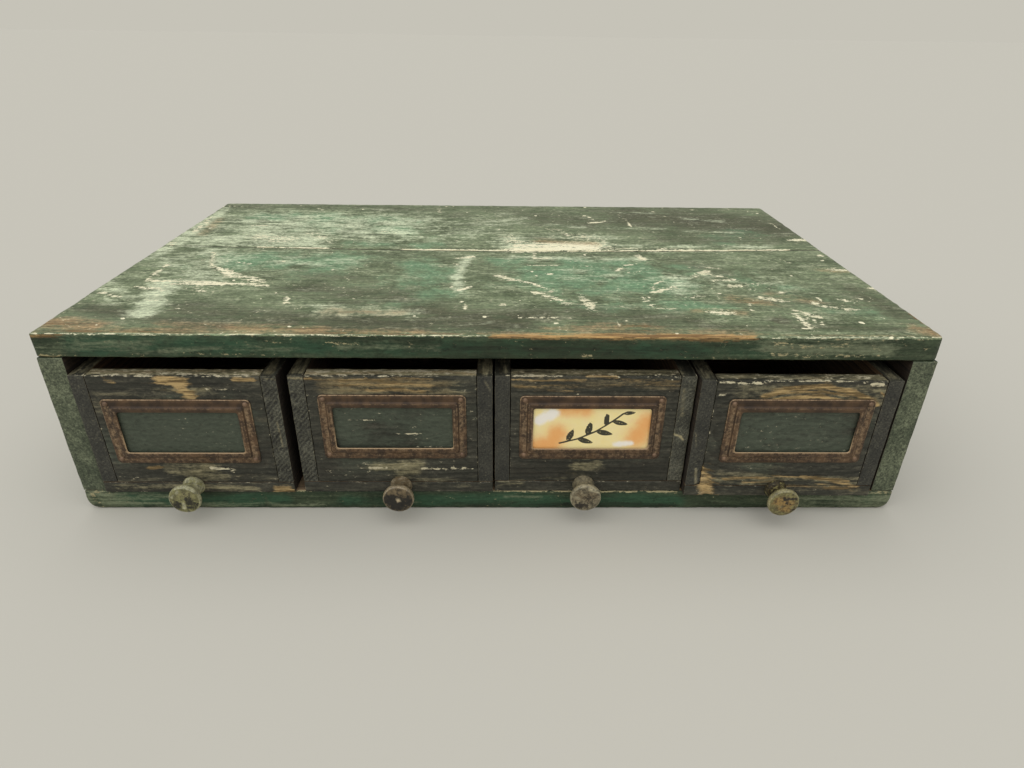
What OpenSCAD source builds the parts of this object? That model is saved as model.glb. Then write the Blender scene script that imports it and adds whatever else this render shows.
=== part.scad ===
// Low tabletop seed cabinet: an open-fronted case of painted pine boards, with four long
// drawers side by side. Each drawer has a pressed metal label frame and a turned wooden knob.
// Millimetres. Origin at the centre of the underside, +Z up, and the front faces -Y.

/* [Case] */
// Width of the case over its sides
case_w = 660; // [610:1:760]
// Depth of the case from its front edge to its back edge
case_d = 395; // [320:1:460]
// Height of the case from its underside to its top
case_h = 156; // [146:1:180]
// Thickness of the top boards
top_t = 19; // [15:0.5:24]
// Thickness of the side boards
side_t = 19; // [15:0.5:24]
// Thickness of the bottom boards
bottom_t = 18; // [14:0.5:22]
// Thickness of the back board
back_t = 12; // [9:0.5:18]
// Width of the front one of the two boards in the top, and in the bottom
front_board_w = 218; // [160:1:230]
// Open joint between the two boards
seam_gap = 0.4; // [0.2:0.1:1]
// Size of the eased edges along the front and the ends of the top
arris = 1.5; // [0.5:0.5:4]
// Radius of the worn lower edges at both ends of the bottom
foot_round = 10; // [2:0.5:13]

/* [Drawers] */
// Thickness of the drawer fronts, sides and backs
drawer_t = 12; // [9:0.5:14]
// Thickness of the drawer bottoms
drawer_bottom_t = 10; // [8:0.5:12]
// Space between the drawers and the underside of the top
head_gap = 13; // [4:0.5:20]
// Running clearance under the drawers
floor_clear = 0.2; // [0.1:0.05:0.5]
// Clearance between the shut drawers and the back board
back_clear = 1; // [0.5:0.5:4]
// How far a shut drawer stands out from the front of the case
shut_stand = 0.3; // [0.2:0.1:2]
// Gap between the left side of the case and the first drawer
gap_left = 0.5; // [0.3:0.1:4]
// Gap between the first drawer and the second
gap_1_2 = 7.5; // [0.5:0.5:10]
// Gap between the second drawer and the third
gap_2_3 = 1.3; // [0.5:0.1:6]
// Gap between the third drawer and the fourth
gap_3_4 = 1.3; // [0.5:0.1:6]
// Gap between the fourth drawer and the right side of the case
gap_right = 5.4; // [0.3:0.1:8]
// How far each drawer has been left pulled out, from the left
pulled = [2.2, 1.2, 0, 6.2]; // [0:0.1:40]

/* [Label frames] */
// Width of a label frame
frame_w = 111; // [80:1:114]
// Height of a label frame
frame_h = 57; // [40:1:60]
// Width of a label frame's border, from its edge to the window
border_w = 10.5; // [9:0.5:14]
// Width of the flat outer part of the border, which lies on the wood
flange_w = 6; // [5:0.5:7]
// Thickness of the pressed sheet
sheet_t = 0.9; // [0.6:0.1:1.2]
// Depth of the card slot behind the raised inner part of the border
slot_h = 1.4; // [0.8:0.1:2]
// Corner radius of the label frame's outside
frame_corner_r = 3.5; // [1:0.5:5]
// Corner radius of the window and of the raised part
window_corner_r = 2; // [0.5:0.5:4]
// Space between a label frame and the top edge of its drawer
frame_margin = 15.7; // [8:0.1:18]
// How far each label frame was fixed to the right of its drawer's middle
frame_shift = [-2, 0, -1, 3]; // [-5:0.5:5]
// How far each label frame was fixed below its usual height
frame_drop = [4, 0, 1, 0]; // [0:0.5:5]
// Thickness of the card in the third drawer's label frame
card_t = 0.4; // [0.2:0.1:0.7]
// How far the card reaches behind the border
card_lap = 3; // [1:0.5:3]

/* [Knobs] */
// Diameter of a knob's head
knob_d = 24.5; // [20:0.5:30]
// Diameter of a knob's neck
neck_d = 16; // [11:0.5:17]
// How far a knob stands out from its drawer
knob_len = 20; // [18:0.5:26]
// Length of a knob's neck, up to the underside of the head
neck_len = 14; // [9:0.5:14]
// Rounding of the rim of a knob's head
rim_r = 2; // [1:0.1:3]
// Height of the knob's axis over the middle of the drawer bottom's edge
knob_raise = 2; // [0:0.1:2]
// How far each knob was fixed to the right of its drawer's middle
knob_shift = [-4, 2, -4, -2]; // [-6:0.5:6]
// Diameter of the double-ended wood screw in a knob
screw_d = 3.4; // [2.5:0.1:4]
// Length of that screw inside the knob
screw_in_knob = 12; // [8:0.5:15]
// Length of that screw inside the drawer bottom
screw_in_bottom = 22; // [12:1:40]

/* [Fasteners] */
// Diameter of a nail
nail_d = 2; // [1.5:0.1:2.6]
// Diameter of a nail's head
nail_head_d = 4.4; // [3:0.1:5.5]
// Thickness of a nail's head
nail_head_t = 0.8; // [0.5:0.1:1.2]
// How far the nail heads are set below the wood
nail_set = 0.3; // [0.2:0.1:0.8]
// How far a nail goes into the second board
nail_grip = 22; // [15:1:26]
// Distance of the case nails from the edges of the boards that they hold
case_nail_edge = 30; // [20:1:34]
// Distance of the nails into a drawer's back from the edges of the back
drawer_nail_edge = 14; // [10:1:18]
// Height between the nails into a drawer's front and the nearest label pins, centre to centre
nail_pin_gap = 7; // [4:0.5:8]
// Distance between the nails along the back board
back_nail_step = 180; // [120:5:200]
// Distance from the drawer's middle of the nails through the bottom into the front and the back
middle_nail_x = 26; // [15:1:30]
// Diameter of a label frame's pin
pin_d = 1.5; // [1:0.1:2]
// Diameter of that pin's domed head
pin_head_d = 4.2; // [3:0.1:4.6]
// Height of that pin's domed head
pin_head_h = 1.4; // [0.8:0.1:1.8]
// How far that pin goes into the wood
pin_len = 7.5; // [5:0.5:8]
// Radial clearance of nails, pins and screws in their holes
hole_fit = 0.05; // [0.02:0.01:0.1]

/* [Hidden] */
$fn = 48;
DRAWERS = [0 : 3];
CASE_NODES = [
    "bottom_front_board", "bottom_rear_board", "left_side", "right_side", "back_board",
    "top_front_board", "top_rear_board", "bottom_nails", "back_nails", "top_nails",
];
DRAWER_PIECES = [
    "bottom", "left_side", "right_side", "front", "back", "nails",
    "label_frame", "frame_pins", "knob_screw", "knob",
];
function drawer_node(i, piece) = str("drawer_", i + 1, "_", piece);
card_drawer = 2;
card_node = drawer_node(card_drawer, "card");

green_paint = "#3f5343";
drawer_paint = "#383a33";
bare_pine = "#8a6a48";
pressed_brass = "#6b4a35";
knob_paint = "#8f8a6a";
iron = "#4b4640";
card_yellow = "#e3b765";

// Cuts run this far past the faces that they open
past = 1;

// Places of the case boards
front_y = -case_d / 2;
rear_y = case_d / 2;
seam_y = front_y + front_board_w;
inner_w = case_w - 2 * side_t;
inner_h = case_h - top_t - bottom_t;
side_x = case_w / 2 - side_t / 2;
back_mid_y = rear_y - back_t / 2;
case_nail_ys = [
    front_y + case_nail_edge, seam_y - case_nail_edge,
    seam_y + case_nail_edge, rear_y - back_t - case_nail_edge,
];

// Sizes and places of the drawers
gaps_in_all = gap_left + gap_1_2 + gap_2_3 + gap_3_4 + gap_right;
drawer_w = (inner_w - gaps_in_all) / 4;
drawer_d = case_d - back_t - back_clear + shut_stand;
drawer_h = inner_h - floor_clear - head_gap;
drawer_z = bottom_t + floor_clear;
wall_z = drawer_z + drawer_bottom_t;
wall_h = drawer_h - drawer_bottom_t;
drawer_top = drawer_z + drawer_h;
gaps_before = [
    gap_left,
    gap_left + gap_1_2,
    gap_left + gap_1_2 + gap_2_3,
    gap_left + gap_1_2 + gap_2_3 + gap_3_4,
];
function drawer_left(i) = -inner_w / 2 + gaps_before[i] + i * drawer_w;
function drawer_mid(i) = drawer_left(i) + drawer_w / 2;
function drawer_front_y(i) = front_y - shut_stand - pulled[i];
function drawer_rear_y(i) = drawer_front_y(i) + drawer_d;

// Places of the label frames, pins and knobs
pin_in = flange_w - pin_head_d / 2 - hole_fit;
step_w = flange_w + sheet_t;
frame_crest = slot_h + sheet_t;
function frame_z(i) = drawer_top - frame_margin - frame_h / 2 - frame_drop[i];
function low_pin_z(i) = frame_z(i) - frame_h / 2 + pin_in;
function high_pin_z(i) = frame_z(i) + frame_h / 2 - pin_in;
knob_z = drawer_z + drawer_bottom_t / 2 + knob_raise;

// A board given by its lowest corner and its size
module board(corner, size) {
    translate(corner) cube(size);
}

// A board of the top, with its upper edges eased at both ends and, where asked, at the front
module top_board(y, width, eased_front) {
    rise = top_t - arris;
    front_cut = eased_front ? arris : 0;
    translate([0, 0, case_h - top_t]) {
        intersection() {
            rotate([90, 0, 90])
                linear_extrude(case_w, center = true)
                    polygon([
                        [y, 0], [y + width, 0], [y + width, top_t],
                        [y + front_cut, top_t], [y, top_t - front_cut],
                    ]);
            translate([0, y + width, 0])
                rotate([90, 0, 0])
                    linear_extrude(width)
                        polygon([
                            [-case_w / 2, 0], [case_w / 2, 0], [case_w / 2, rise],
                            [case_w / 2 - arris, top_t], [-case_w / 2 + arris, top_t],
                            [-case_w / 2, rise],
                        ]);
        }
    }
}

// A board of the bottom, with the lower edges of its ends worn round
module bottom_board(y, width) {
    round_x = case_w / 2 - foot_round;
    translate([0, y + width, 0])
        rotate([90, 0, 0])
            linear_extrude(width) {
                translate([-case_w / 2, foot_round]) square([case_w, bottom_t - foot_round]);
                translate([-round_x, 0]) square([2 * round_x, bottom_t]);
                intersection() {
                    translate([-case_w / 2, 0]) square([case_w, foot_round]);
                    for (x = [-round_x, round_x])
                        translate([x, foot_round]) circle(r = foot_round);
                }
            }
}

// A nail that goes into the wood along +Z, with its head set below the face at Z = 0
module nail(length) {
    translate([0, 0, nail_set]) {
        cylinder(d = nail_head_d, h = nail_head_t);
        cylinder(d = nail_d, h = length);
    }
}

// The hole that such a nail makes
module nail_hole(length) {
    recess = nail_set + nail_head_t;
    translate([0, 0, -past]) cylinder(d = nail_head_d + 2 * hole_fit, h = past + recess);
    cylinder(d = nail_d + 2 * hole_fit, h = nail_set + length + hole_fit);
}

// The nails' places: each child is put there, pointing into the wood
module at_top_nails() {
    for (x = [-side_x, side_x])
        for (y = case_nail_ys)
            translate([x, y, case_h]) rotate([180, 0, 0]) children();
}

module at_bottom_nails() {
    flat_x = case_w / 2 - foot_round - nail_head_d / 2;
    for (x = [-flat_x, flat_x])
        for (y = case_nail_ys)
            translate([x, y, 0]) children();
}

module at_back_end_nails() {
    zs = [bottom_t + case_nail_edge, case_h - top_t - case_nail_edge];
    for (side = [-1, 1])
        for (z = zs)
            translate([side * case_w / 2, back_mid_y, z]) rotate([0, -side * 90, 0]) children();
}

module at_back_top_nails() {
    for (x = [-back_nail_step, 0, back_nail_step])
        translate([x, back_mid_y, case_h]) rotate([180, 0, 0]) children();
}

module at_back_bottom_nails() {
    for (x = [-back_nail_step, 0, back_nail_step])
        translate([x, back_mid_y, 0]) children();
}

module at_drawer_side_nails(i) {
    front_nail_y = drawer_front_y(i) + drawer_t / 2;
    back_nail_y = drawer_rear_y(i) - drawer_t / 2;
    places = [
        [front_nail_y, low_pin_z(i) - nail_pin_gap],
        [front_nail_y, high_pin_z(i) + nail_pin_gap],
        [back_nail_y, wall_z + drawer_nail_edge],
        [back_nail_y, drawer_top - drawer_nail_edge],
    ];
    for (side = [-1, 1])
        for (place = places)
            translate([drawer_mid(i) + side * drawer_w / 2, place[0], place[1]])
                rotate([0, -side * 90, 0]) children();
}

module at_drawer_bottom_nails(i) {
    edge_x = drawer_w / 2 - drawer_t / 2;
    edge_ys = [
        drawer_front_y(i) + drawer_t + case_nail_edge,
        (drawer_front_y(i) + drawer_rear_y(i)) / 2,
        drawer_rear_y(i) - drawer_t - case_nail_edge,
    ];
    end_ys = [drawer_front_y(i) + drawer_t / 2, drawer_rear_y(i) - drawer_t / 2];
    for (side = [-1, 1]) {
        for (y = edge_ys)
            translate([drawer_mid(i) + side * edge_x, y, drawer_z]) children();
        for (y = end_ys)
            translate([drawer_mid(i) + side * middle_nail_x, y, drawer_z]) children();
    }
}

module top_nail_holes() {
    at_top_nails() nail_hole(top_t + nail_grip);
}

module bottom_nail_holes() {
    at_bottom_nails() nail_hole(bottom_t + nail_grip);
}

module back_nail_holes() {
    at_back_end_nails() nail_hole(side_t + nail_grip);
    at_back_top_nails() nail_hole(top_t + nail_grip);
    at_back_bottom_nails() nail_hole(bottom_t + nail_grip);
}

module drawer_side_nail_holes(i) {
    at_drawer_side_nails(i) nail_hole(drawer_t + nail_grip);
}

module drawer_bottom_nail_holes(i) {
    at_drawer_bottom_nails(i) nail_hole(drawer_bottom_t + nail_grip);
}

// The case, from the bottom up
module bottom_front_board() {
    color(green_paint)
        difference() {
            bottom_board(front_y, front_board_w - seam_gap / 2);
            bottom_nail_holes();
        }
}

module bottom_rear_board() {
    start = seam_y + seam_gap / 2;
    color(bare_pine)
        difference() {
            bottom_board(start, rear_y - start);
            bottom_nail_holes();
            back_nail_holes();
        }
}

module case_side(x) {
    color(green_paint)
        difference() {
            board([x, front_y, bottom_t], [side_t, case_d, inner_h]);
            bottom_nail_holes();
            top_nail_holes();
            back_nail_holes();
        }
}

module left_side() {
    case_side(-case_w / 2);
}

module right_side() {
    case_side(case_w / 2 - side_t);
}

module back_board() {
    color(bare_pine)
        difference() {
            board([-inner_w / 2, rear_y - back_t, bottom_t], [inner_w, back_t, inner_h]);
            back_nail_holes();
        }
}

module top_front_board() {
    color(green_paint)
        difference() {
            top_board(front_y, front_board_w - seam_gap / 2, true);
            top_nail_holes();
        }
}

module top_rear_board() {
    start = seam_y + seam_gap / 2;
    color(green_paint)
        difference() {
            top_board(start, rear_y - start, false);
            top_nail_holes();
            back_nail_holes();
        }
}

module bottom_nails() {
    color(iron) at_bottom_nails() nail(bottom_t + nail_grip);
}

module back_nails() {
    color(iron) {
        at_back_end_nails() nail(side_t + nail_grip);
        at_back_top_nails() nail(top_t + nail_grip);
        at_back_bottom_nails() nail(bottom_t + nail_grip);
    }
}

module top_nails() {
    color(iron) at_top_nails() nail(top_t + nail_grip);
}

// A drawer: a nailed box whose sides lap the front and the back, on a full-size bottom board
module drawer_bottom(i) {
    color(drawer_paint)
        difference() {
            board(
                [drawer_left(i), drawer_front_y(i), drawer_z],
                [drawer_w, drawer_d, drawer_bottom_t]
            );
            drawer_bottom_nail_holes(i);
            at_knob(i) screw_hole();
        }
}

module drawer_side(i, x) {
    color(drawer_paint)
        difference() {
            board([x, drawer_front_y(i), wall_z], [drawer_t, drawer_d, wall_h]);
            drawer_side_nail_holes(i);
            drawer_bottom_nail_holes(i);
        }
}

module drawer_left_side(i) {
    drawer_side(i, drawer_left(i));
}

module drawer_right_side(i) {
    drawer_side(i, drawer_left(i) + drawer_w - drawer_t);
}

module drawer_end(i, y) {
    difference() {
        board([drawer_left(i) + drawer_t, y, wall_z], [drawer_w - 2 * drawer_t, drawer_t, wall_h]);
        drawer_side_nail_holes(i);
        drawer_bottom_nail_holes(i);
    }
}

module drawer_front(i) {
    color(drawer_paint)
        difference() {
            drawer_end(i, drawer_front_y(i));
            at_frame(i) pin_holes();
        }
}

module drawer_back(i) {
    color(bare_pine) drawer_end(i, drawer_rear_y(i) - drawer_t);
}

module drawer_nails(i) {
    color(iron) {
        at_drawer_side_nails(i) nail(drawer_t + nail_grip);
        at_drawer_bottom_nails(i) nail(drawer_bottom_t + nail_grip);
    }
}

// The label frame's place: X across the drawer, Y up, and Z out of the drawer's front
module at_frame(i) {
    translate([drawer_mid(i) + frame_shift[i], drawer_front_y(i), frame_z(i)])
        rotate([90, 0, 0]) children();
}

module at_pins() {
    for (x = [-1, 1])
        for (y = [-1, 1])
            translate([x * (frame_w / 2 - pin_in), y * (frame_h / 2 - pin_in), 0]) children();
}

// The label frame's outline, moved in by a distance, with round corners
module frame_outline(inset, corner_r) {
    w = frame_w - 2 * inset;
    h = frame_h - 2 * inset;
    square([w - 2 * corner_r, h], center = true);
    square([w, h - 2 * corner_r], center = true);
    for (x = [-1, 1])
        for (y = [-1, 1])
            translate([x * (w / 2 - corner_r), y * (h / 2 - corner_r)]) circle(r = corner_r);
}

module pin_holes() {
    at_pins()
        translate([0, 0, -pin_len - hole_fit])
            cylinder(d = pin_d + 2 * hole_fit, h = pin_len + hole_fit + sheet_t + past);
}

module label_frame(i) {
    color(pressed_brass)
        at_frame(i)
            difference() {
                union() {
                    linear_extrude(sheet_t) frame_outline(0, frame_corner_r);
                    linear_extrude(frame_crest) frame_outline(flange_w, window_corner_r);
                }
                translate([0, 0, -past])
                    linear_extrude(slot_h + past) frame_outline(step_w, window_corner_r);
                linear_extrude(frame_crest + past) frame_outline(border_w, window_corner_r);
                pin_holes();
            }
}

module frame_pins(i) {
    dome_r = (pow(pin_head_d / 2, 2) + pow(pin_head_h, 2)) / (2 * pin_head_h);
    color(pressed_brass)
        at_frame(i)
            at_pins() {
                translate([0, 0, -pin_len]) cylinder(d = pin_d, h = pin_len + sheet_t);
                translate([0, 0, sheet_t])
                    intersection() {
                        translate([0, 0, pin_head_h - dome_r]) sphere(r = dome_r);
                        cylinder(d = pin_head_d, h = pin_head_h);
                    }
            }
}

module drawer_card() {
    w = frame_w - 2 * border_w + 2 * card_lap;
    h = frame_h - 2 * border_w + 2 * card_lap;
    color(card_yellow)
        at_frame(card_drawer)
            linear_extrude(card_t) square([w, h], center = true);
}

// The knob's place: Z along its axis, out of the drawer's front
module at_knob(i) {
    translate([drawer_mid(i) + knob_shift[i], drawer_front_y(i), knob_z])
        rotate([90, 0, 0]) children();
}

module screw_hole() {
    translate([0, 0, -screw_in_bottom - hole_fit])
        cylinder(d = screw_d + 2 * hole_fit, h = screw_in_bottom + screw_in_knob + 2 * hole_fit);
}

module knob_screw(i) {
    tip = screw_d;
    color(iron)
        at_knob(i)
            translate([0, 0, -screw_in_bottom]) {
                cylinder(d1 = screw_d / 4, d2 = screw_d, h = tip);
                translate([0, 0, tip]) cylinder(d = screw_d, h = screw_in_bottom + screw_in_knob - tip);
            }
}

// A turned mushroom knob: a neck that flares into a round-rimmed head with a low dome
module knob(i) {
    head_r = knob_d / 2;
    neck_r = neck_d / 2;
    flare_steps = 6;
    flare = [
        for (s = [0 : flare_steps])
            let (t = s / flare_steps)
            [neck_r + (head_r - rim_r - neck_r) * pow(t, 4), neck_len * t]
    ];
    rim = [
        for (angle = [-60 : 30 : 60])
            [head_r - rim_r + rim_r * cos(angle), neck_len + rim_r + rim_r * sin(angle)]
    ];
    dome_from = rim[len(rim) - 1];
    dome_steps = 6;
    dome = [
        for (s = [1 : dome_steps])
            let (t = 1 - s / dome_steps)
            [dome_from[0] * t, dome_from[1] + (knob_len - dome_from[1]) * (1 - t * t)]
    ];
    color(knob_paint)
        at_knob(i)
            difference() {
                rotate_extrude() polygon(concat([[0, 0]], flare, rim, dome));
                screw_hole();
            }
}

bottom_front_board();
bottom_rear_board();
left_side();
right_side();
back_board();
top_front_board();
top_rear_board();
bottom_nails();
back_nails();
top_nails();
for (i = DRAWERS) {
    drawer_bottom(i);
    drawer_left_side(i);
    drawer_right_side(i);
    drawer_front(i);
    drawer_back(i);
    drawer_nails(i);
    label_frame(i);
    frame_pins(i);
    knob_screw(i);
    knob(i);
}
drawer_card();
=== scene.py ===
import math

import bmesh
import bpy
import numpy as np
from mathutils import Matrix, Vector, noise


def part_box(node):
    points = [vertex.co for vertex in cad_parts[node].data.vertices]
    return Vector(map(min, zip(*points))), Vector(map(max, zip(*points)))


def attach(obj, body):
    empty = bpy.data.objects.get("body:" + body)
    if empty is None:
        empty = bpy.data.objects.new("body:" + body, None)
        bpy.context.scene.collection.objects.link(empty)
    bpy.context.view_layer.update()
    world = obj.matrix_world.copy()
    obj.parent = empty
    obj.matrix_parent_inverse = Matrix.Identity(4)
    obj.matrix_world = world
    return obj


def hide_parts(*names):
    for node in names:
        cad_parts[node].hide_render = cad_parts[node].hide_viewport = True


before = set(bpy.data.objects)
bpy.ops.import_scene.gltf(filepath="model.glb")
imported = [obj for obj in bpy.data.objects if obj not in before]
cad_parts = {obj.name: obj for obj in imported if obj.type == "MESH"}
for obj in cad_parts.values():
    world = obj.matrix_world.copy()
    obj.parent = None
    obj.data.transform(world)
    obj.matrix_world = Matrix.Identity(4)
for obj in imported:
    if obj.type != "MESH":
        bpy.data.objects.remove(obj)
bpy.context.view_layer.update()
scene = bpy.context.scene
scene.view_settings.view_transform = "Standard"


# Bottom of the case
# Two pine boards laid edge to edge and nailed up into the ends of the sides, with no feet.
# Only the front edge and the ends were painted with the case; years on the floor rounded the ends.
MM = 0.001
BOTTOM_CELL = 3.5 * MM
FOOT_ROUND = 10 * MM
ROUND_SEGMENTS = 6
BOARD_EASE = 1.2 * MM
EASE_SEGMENTS = 2
ARRIS_ANGLE = math.radians(40)
SMOOTH_ANGLE = math.radians(50)
LEAST_WEIGHT = 0.004
# A stroke of wear has a firm middle and a faint wide fringe: the share of each, and how fast it fades
STROKE_FADES = ((0.78, 0.8), (0.22, 0.1))
# How far back the paint of the front reaches, in millimetres
PAINT_TO = -196.0


def cut_board(name, low, high, cells, ease, worn_round=None):
    """A cube at the board's size, with eased edges, cut into cells that wear can work on."""
    bpy.ops.object.select_all(action="DESELECT")
    bpy.ops.mesh.primitive_cube_add(size=1, location=(low + high) / 2)
    board = bpy.context.object
    board.name = name
    board.data.name = name
    board.scale = high - low
    bpy.ops.object.transform_apply(location=True, rotation=False, scale=True)
    bpy.ops.object.mode_set(mode="EDIT")
    bpy.ops.mesh.select_mode(type="EDGE")
    mesh = bmesh.from_edit_mesh(board.data)
    if worn_round:
        run_axis, at_axis, at, radius = worn_round
        for edge in mesh.edges:
            ends = [v.co for v in edge.verts]
            runs = abs(ends[0][run_axis] - ends[1][run_axis]) > 10 * MM
            edge.select_set(runs and max(abs(end[at_axis] - at) for end in ends) < 1 * MM)
        bmesh.update_edit_mesh(board.data)
        bpy.ops.mesh.bevel(offset=radius, segments=ROUND_SEGMENTS, affect="EDGES")
        mesh = bmesh.from_edit_mesh(board.data)
        for edge in mesh.edges:
            edge.select_set(len(edge.link_faces) == 2 and edge.calc_face_angle(0) > ARRIS_ANGLE)
        bmesh.update_edit_mesh(board.data)
    else:
        bpy.ops.mesh.select_all(action="SELECT")
    bpy.ops.mesh.bevel(offset=ease, segments=EASE_SEGMENTS, affect="EDGES")
    for axis in range(3):
        mesh = bmesh.from_edit_mesh(board.data)
        longest = 0.0
        for edge in mesh.edges:
            run = edge.verts[0].co - edge.verts[1].co
            wanted = run.length > 2 * cells[axis] and abs(run[axis]) > 0.95 * run.length
            edge.select_set(wanted)
            longest = max(longest, run.length if wanted else 0.0)
        bmesh.update_edit_mesh(board.data)
        if longest:
            bpy.ops.mesh.subdivide(number_cuts=round(longest / cells[axis]) - 1)
    bpy.ops.object.mode_set(mode="OBJECT")
    return board


def refine(board, choose):
    """Halves the cells of chosen faces, so that thin scratches keep their line there."""
    bpy.context.view_layer.objects.active = board
    bpy.ops.object.mode_set(mode="EDIT")
    bpy.ops.mesh.select_mode(type="FACE")
    bpy.ops.mesh.select_all(action="DESELECT")
    mesh = bmesh.from_edit_mesh(board.data)
    for face in mesh.faces:
        if choose(face.normal):
            face.select_set(True)
    bmesh.update_edit_mesh(board.data)
    bpy.ops.mesh.subdivide(number_cuts=1)
    bpy.ops.object.mode_set(mode="OBJECT")


def corners_of(board):
    """The board's vertices, in millimetres."""
    places = np.zeros(len(board.data.vertices) * 3, np.float32)
    board.data.vertices.foreach_get("co", places)
    return places.reshape(-1, 3).astype(float) * 1000


def store(board, name, values):
    """Keeps one number, or one vector, for each vertex, for a material to read."""
    kind, field = ("FLOAT_VECTOR", "vector") if np.ndim(values) == 2 else ("FLOAT", "value")
    made = board.data.attributes.new(name, kind, "POINT")
    made.data.foreach_set(field, np.asarray(values, np.float32).ravel())


def lay_grain(board, low, high, along, ring_mm):
    """Notes the distance to the nearest edge, and the way that the grain and the year rings run."""
    places = corners_of(board)
    low_mm = np.array(low) * 1000
    high_mm = np.array(high) * 1000
    inset = np.sort(np.minimum(places - low_mm, high_mm - places), axis=1)
    store(board, "edge_mm", inset[:, 1])
    across = [axis for axis in (0, 1, 2) if axis != along]
    across.sort(key=lambda axis: low[axis] - high[axis])
    turned = places[:, [along, *across]]
    store(board, "grain", turned)
    store(board, "figure", turned[:, 1] / ring_mm + 0.35 * turned[:, 2] / ring_mm)
    return inset[:, 1]


def press_in(board, weights, depth, texture=None, direction="NORMAL"):
    """Moves the surface by up to a depth, where a weight and a texture say so, as wear and saws do."""
    group = board.vertex_groups.new(name="pressed")
    for index in np.nonzero(weights > LEAST_WEIGHT)[0]:
        group.add([int(index)], float(weights[index]), "REPLACE")
    modifier = board.modifiers.new("pressed", "DISPLACE")
    modifier.vertex_group = group.name
    modifier.direction = direction
    modifier.strength = depth
    modifier.mid_level = 0.0
    if texture:
        modifier.texture = texture
        modifier.texture_coords = "LOCAL"
    bpy.context.view_layer.objects.active = board
    bpy.ops.object.modifier_apply(modifier=modifier.name)
    board.vertex_groups.clear()


def clouds(name, size_mm, contrast):
    """A soft random pattern with patches of about that size."""
    texture = bpy.data.textures.new(name, "CLOUDS")
    texture.noise_scale = size_mm * MM
    texture.noise_depth = 3
    texture.contrast = contrast
    return texture


PLANED = clouds("hand planed hollows", size_mm=55, contrast=1.0)
KNOCKED = clouds("knocked edges", size_mm=9, contrast=1.6)


def weather(board, edge_mm, hollow, knock, reach):
    """Planes shallow hollows into the faces and knocks the edges back, never beyond the sawn size."""
    press_in(board, np.ones(len(edge_mm)), -hollow, PLANED)
    press_in(board, np.clip(1 - edge_mm / reach, 0, 1) ** 1.5, -knock, KNOCKED)


def finish_faces(board, materials, choose=None):
    """Gives each face the material that its normal and its middle call for, and smooths eased edges."""
    for material in materials:
        board.data.materials.append(material)
    if choose:
        count = len(board.data.polygons)
        normals = np.zeros(count * 3, np.float32)
        middles = np.zeros(count * 3, np.float32)
        board.data.polygons.foreach_get("normal", normals)
        board.data.polygons.foreach_get("center", middles)
        index = choose(normals.reshape(-1, 3), middles.reshape(-1, 3) * 1000)
        board.data.polygons.foreach_set("material_index", np.asarray(index, np.int32))
    bpy.ops.object.select_all(action="DESELECT")
    board.select_set(True)
    bpy.context.view_layer.objects.active = board
    bpy.ops.object.shade_smooth_by_angle(angle=SMOOTH_ANGLE)


def worn_along(places, strokes):
    """How far wear has gone at flat places, by strokes of (points, half width, strength) in millimetres."""
    worn = np.zeros(len(places))
    for points, half_width, strength in strokes:
        for start, end in zip(points, points[1:] or points):
            run = np.subtract(end, start, dtype=float)
            share = np.clip((places - start) @ run / max(run @ run, 1e-9), 0, 1)
            away = np.linalg.norm(places - start - share[:, None] * run, axis=1)
            near = (away / half_width) ** 2
            fades = sum(part * np.exp(-rate * near) for part, rate in STROKE_FADES)
            worn = np.maximum(worn, strength * fades)
    return worn


WEARS = ("cream", "bare", "pale", "teal", "grime", "stain")


def store_wear(board, places, strokes):
    """Keeps each kind of wear that the paint can show."""
    for kind in WEARS:
        store(board, kind, worn_along(places, strokes.get(kind, [])))


def linear(hex_colour):
    """A written sRGB colour as the linear colour that a shader takes."""
    parts = [int(hex_colour[k : k + 2], 16) / 255 for k in (1, 3, 5)]
    return [p / 12.92 if p <= 0.04045 else ((p + 0.055) / 1.055) ** 2.4 for p in parts] + [1.0]


def add(tree, kind, inputs, out=0, **settings):
    """Adds a shader node with its settings, fixed values and links, and gives one of its outputs."""
    made = tree.nodes.new("ShaderNode" + kind)
    for key, value in settings.items():
        setattr(made, key, value)
    for socket, value in inputs.items():
        if isinstance(value, bpy.types.NodeSocket):
            tree.links.new(value, made.inputs[socket])
        else:
            made.inputs[socket].default_value = value
    return made.outputs[out]


# Settings of a mixing node: one colour laid over another, or one multiplied by another
OVER = {"out": 2, "data_type": "RGBA"}
TIMES = {**OVER, "blend_type": "MULTIPLY"}


def new_material(name):
    material = bpy.data.materials.new(name)
    material.use_nodes = True
    return material, material.node_tree, material.node_tree.nodes["Principled BSDF"]


def broken(tree, amount, waves, grip, soft):
    """Wear with a ragged edge: shows where its amount, shaken by a noise, passes one half."""
    shaken = add(tree, "Math", {0: waves, 1: grip, 2: -grip / 2}, operation="MULTIPLY_ADD")
    total = add(tree, "Math", {0: shaken, 1: amount}, operation="ADD")
    return add(
        tree, "MapRange", {"Value": total, "From Min": 0.5 - soft, "From Max": 0.5 + soft},
        interpolation_type="SMOOTHSTEP",
    )


def grain_noises(tree, sizes, offset):
    """Noises along the wood, each 0 to 1, from the length and width of their patches in millimetres."""
    grain = add(tree, "Attribute", {}, out="Vector", attribute_name="grain")
    made = {}
    for name, (along, across, detail, rough) in sizes.items():
        scale = (1 / along, 1 / across, 1 / across)
        turned = add(tree, "Mapping", {"Vector": grain, "Location": offset, "Scale": scale})
        waves = add(
            tree, "TexNoise", {"Vector": turned, "Scale": 1.0, "Detail": detail, "Roughness": rough},
        )
        made[name] = add(tree, "MapRange", {"Value": waves, "From Min": 0.3, "From Max": 0.7})
    return made


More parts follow.
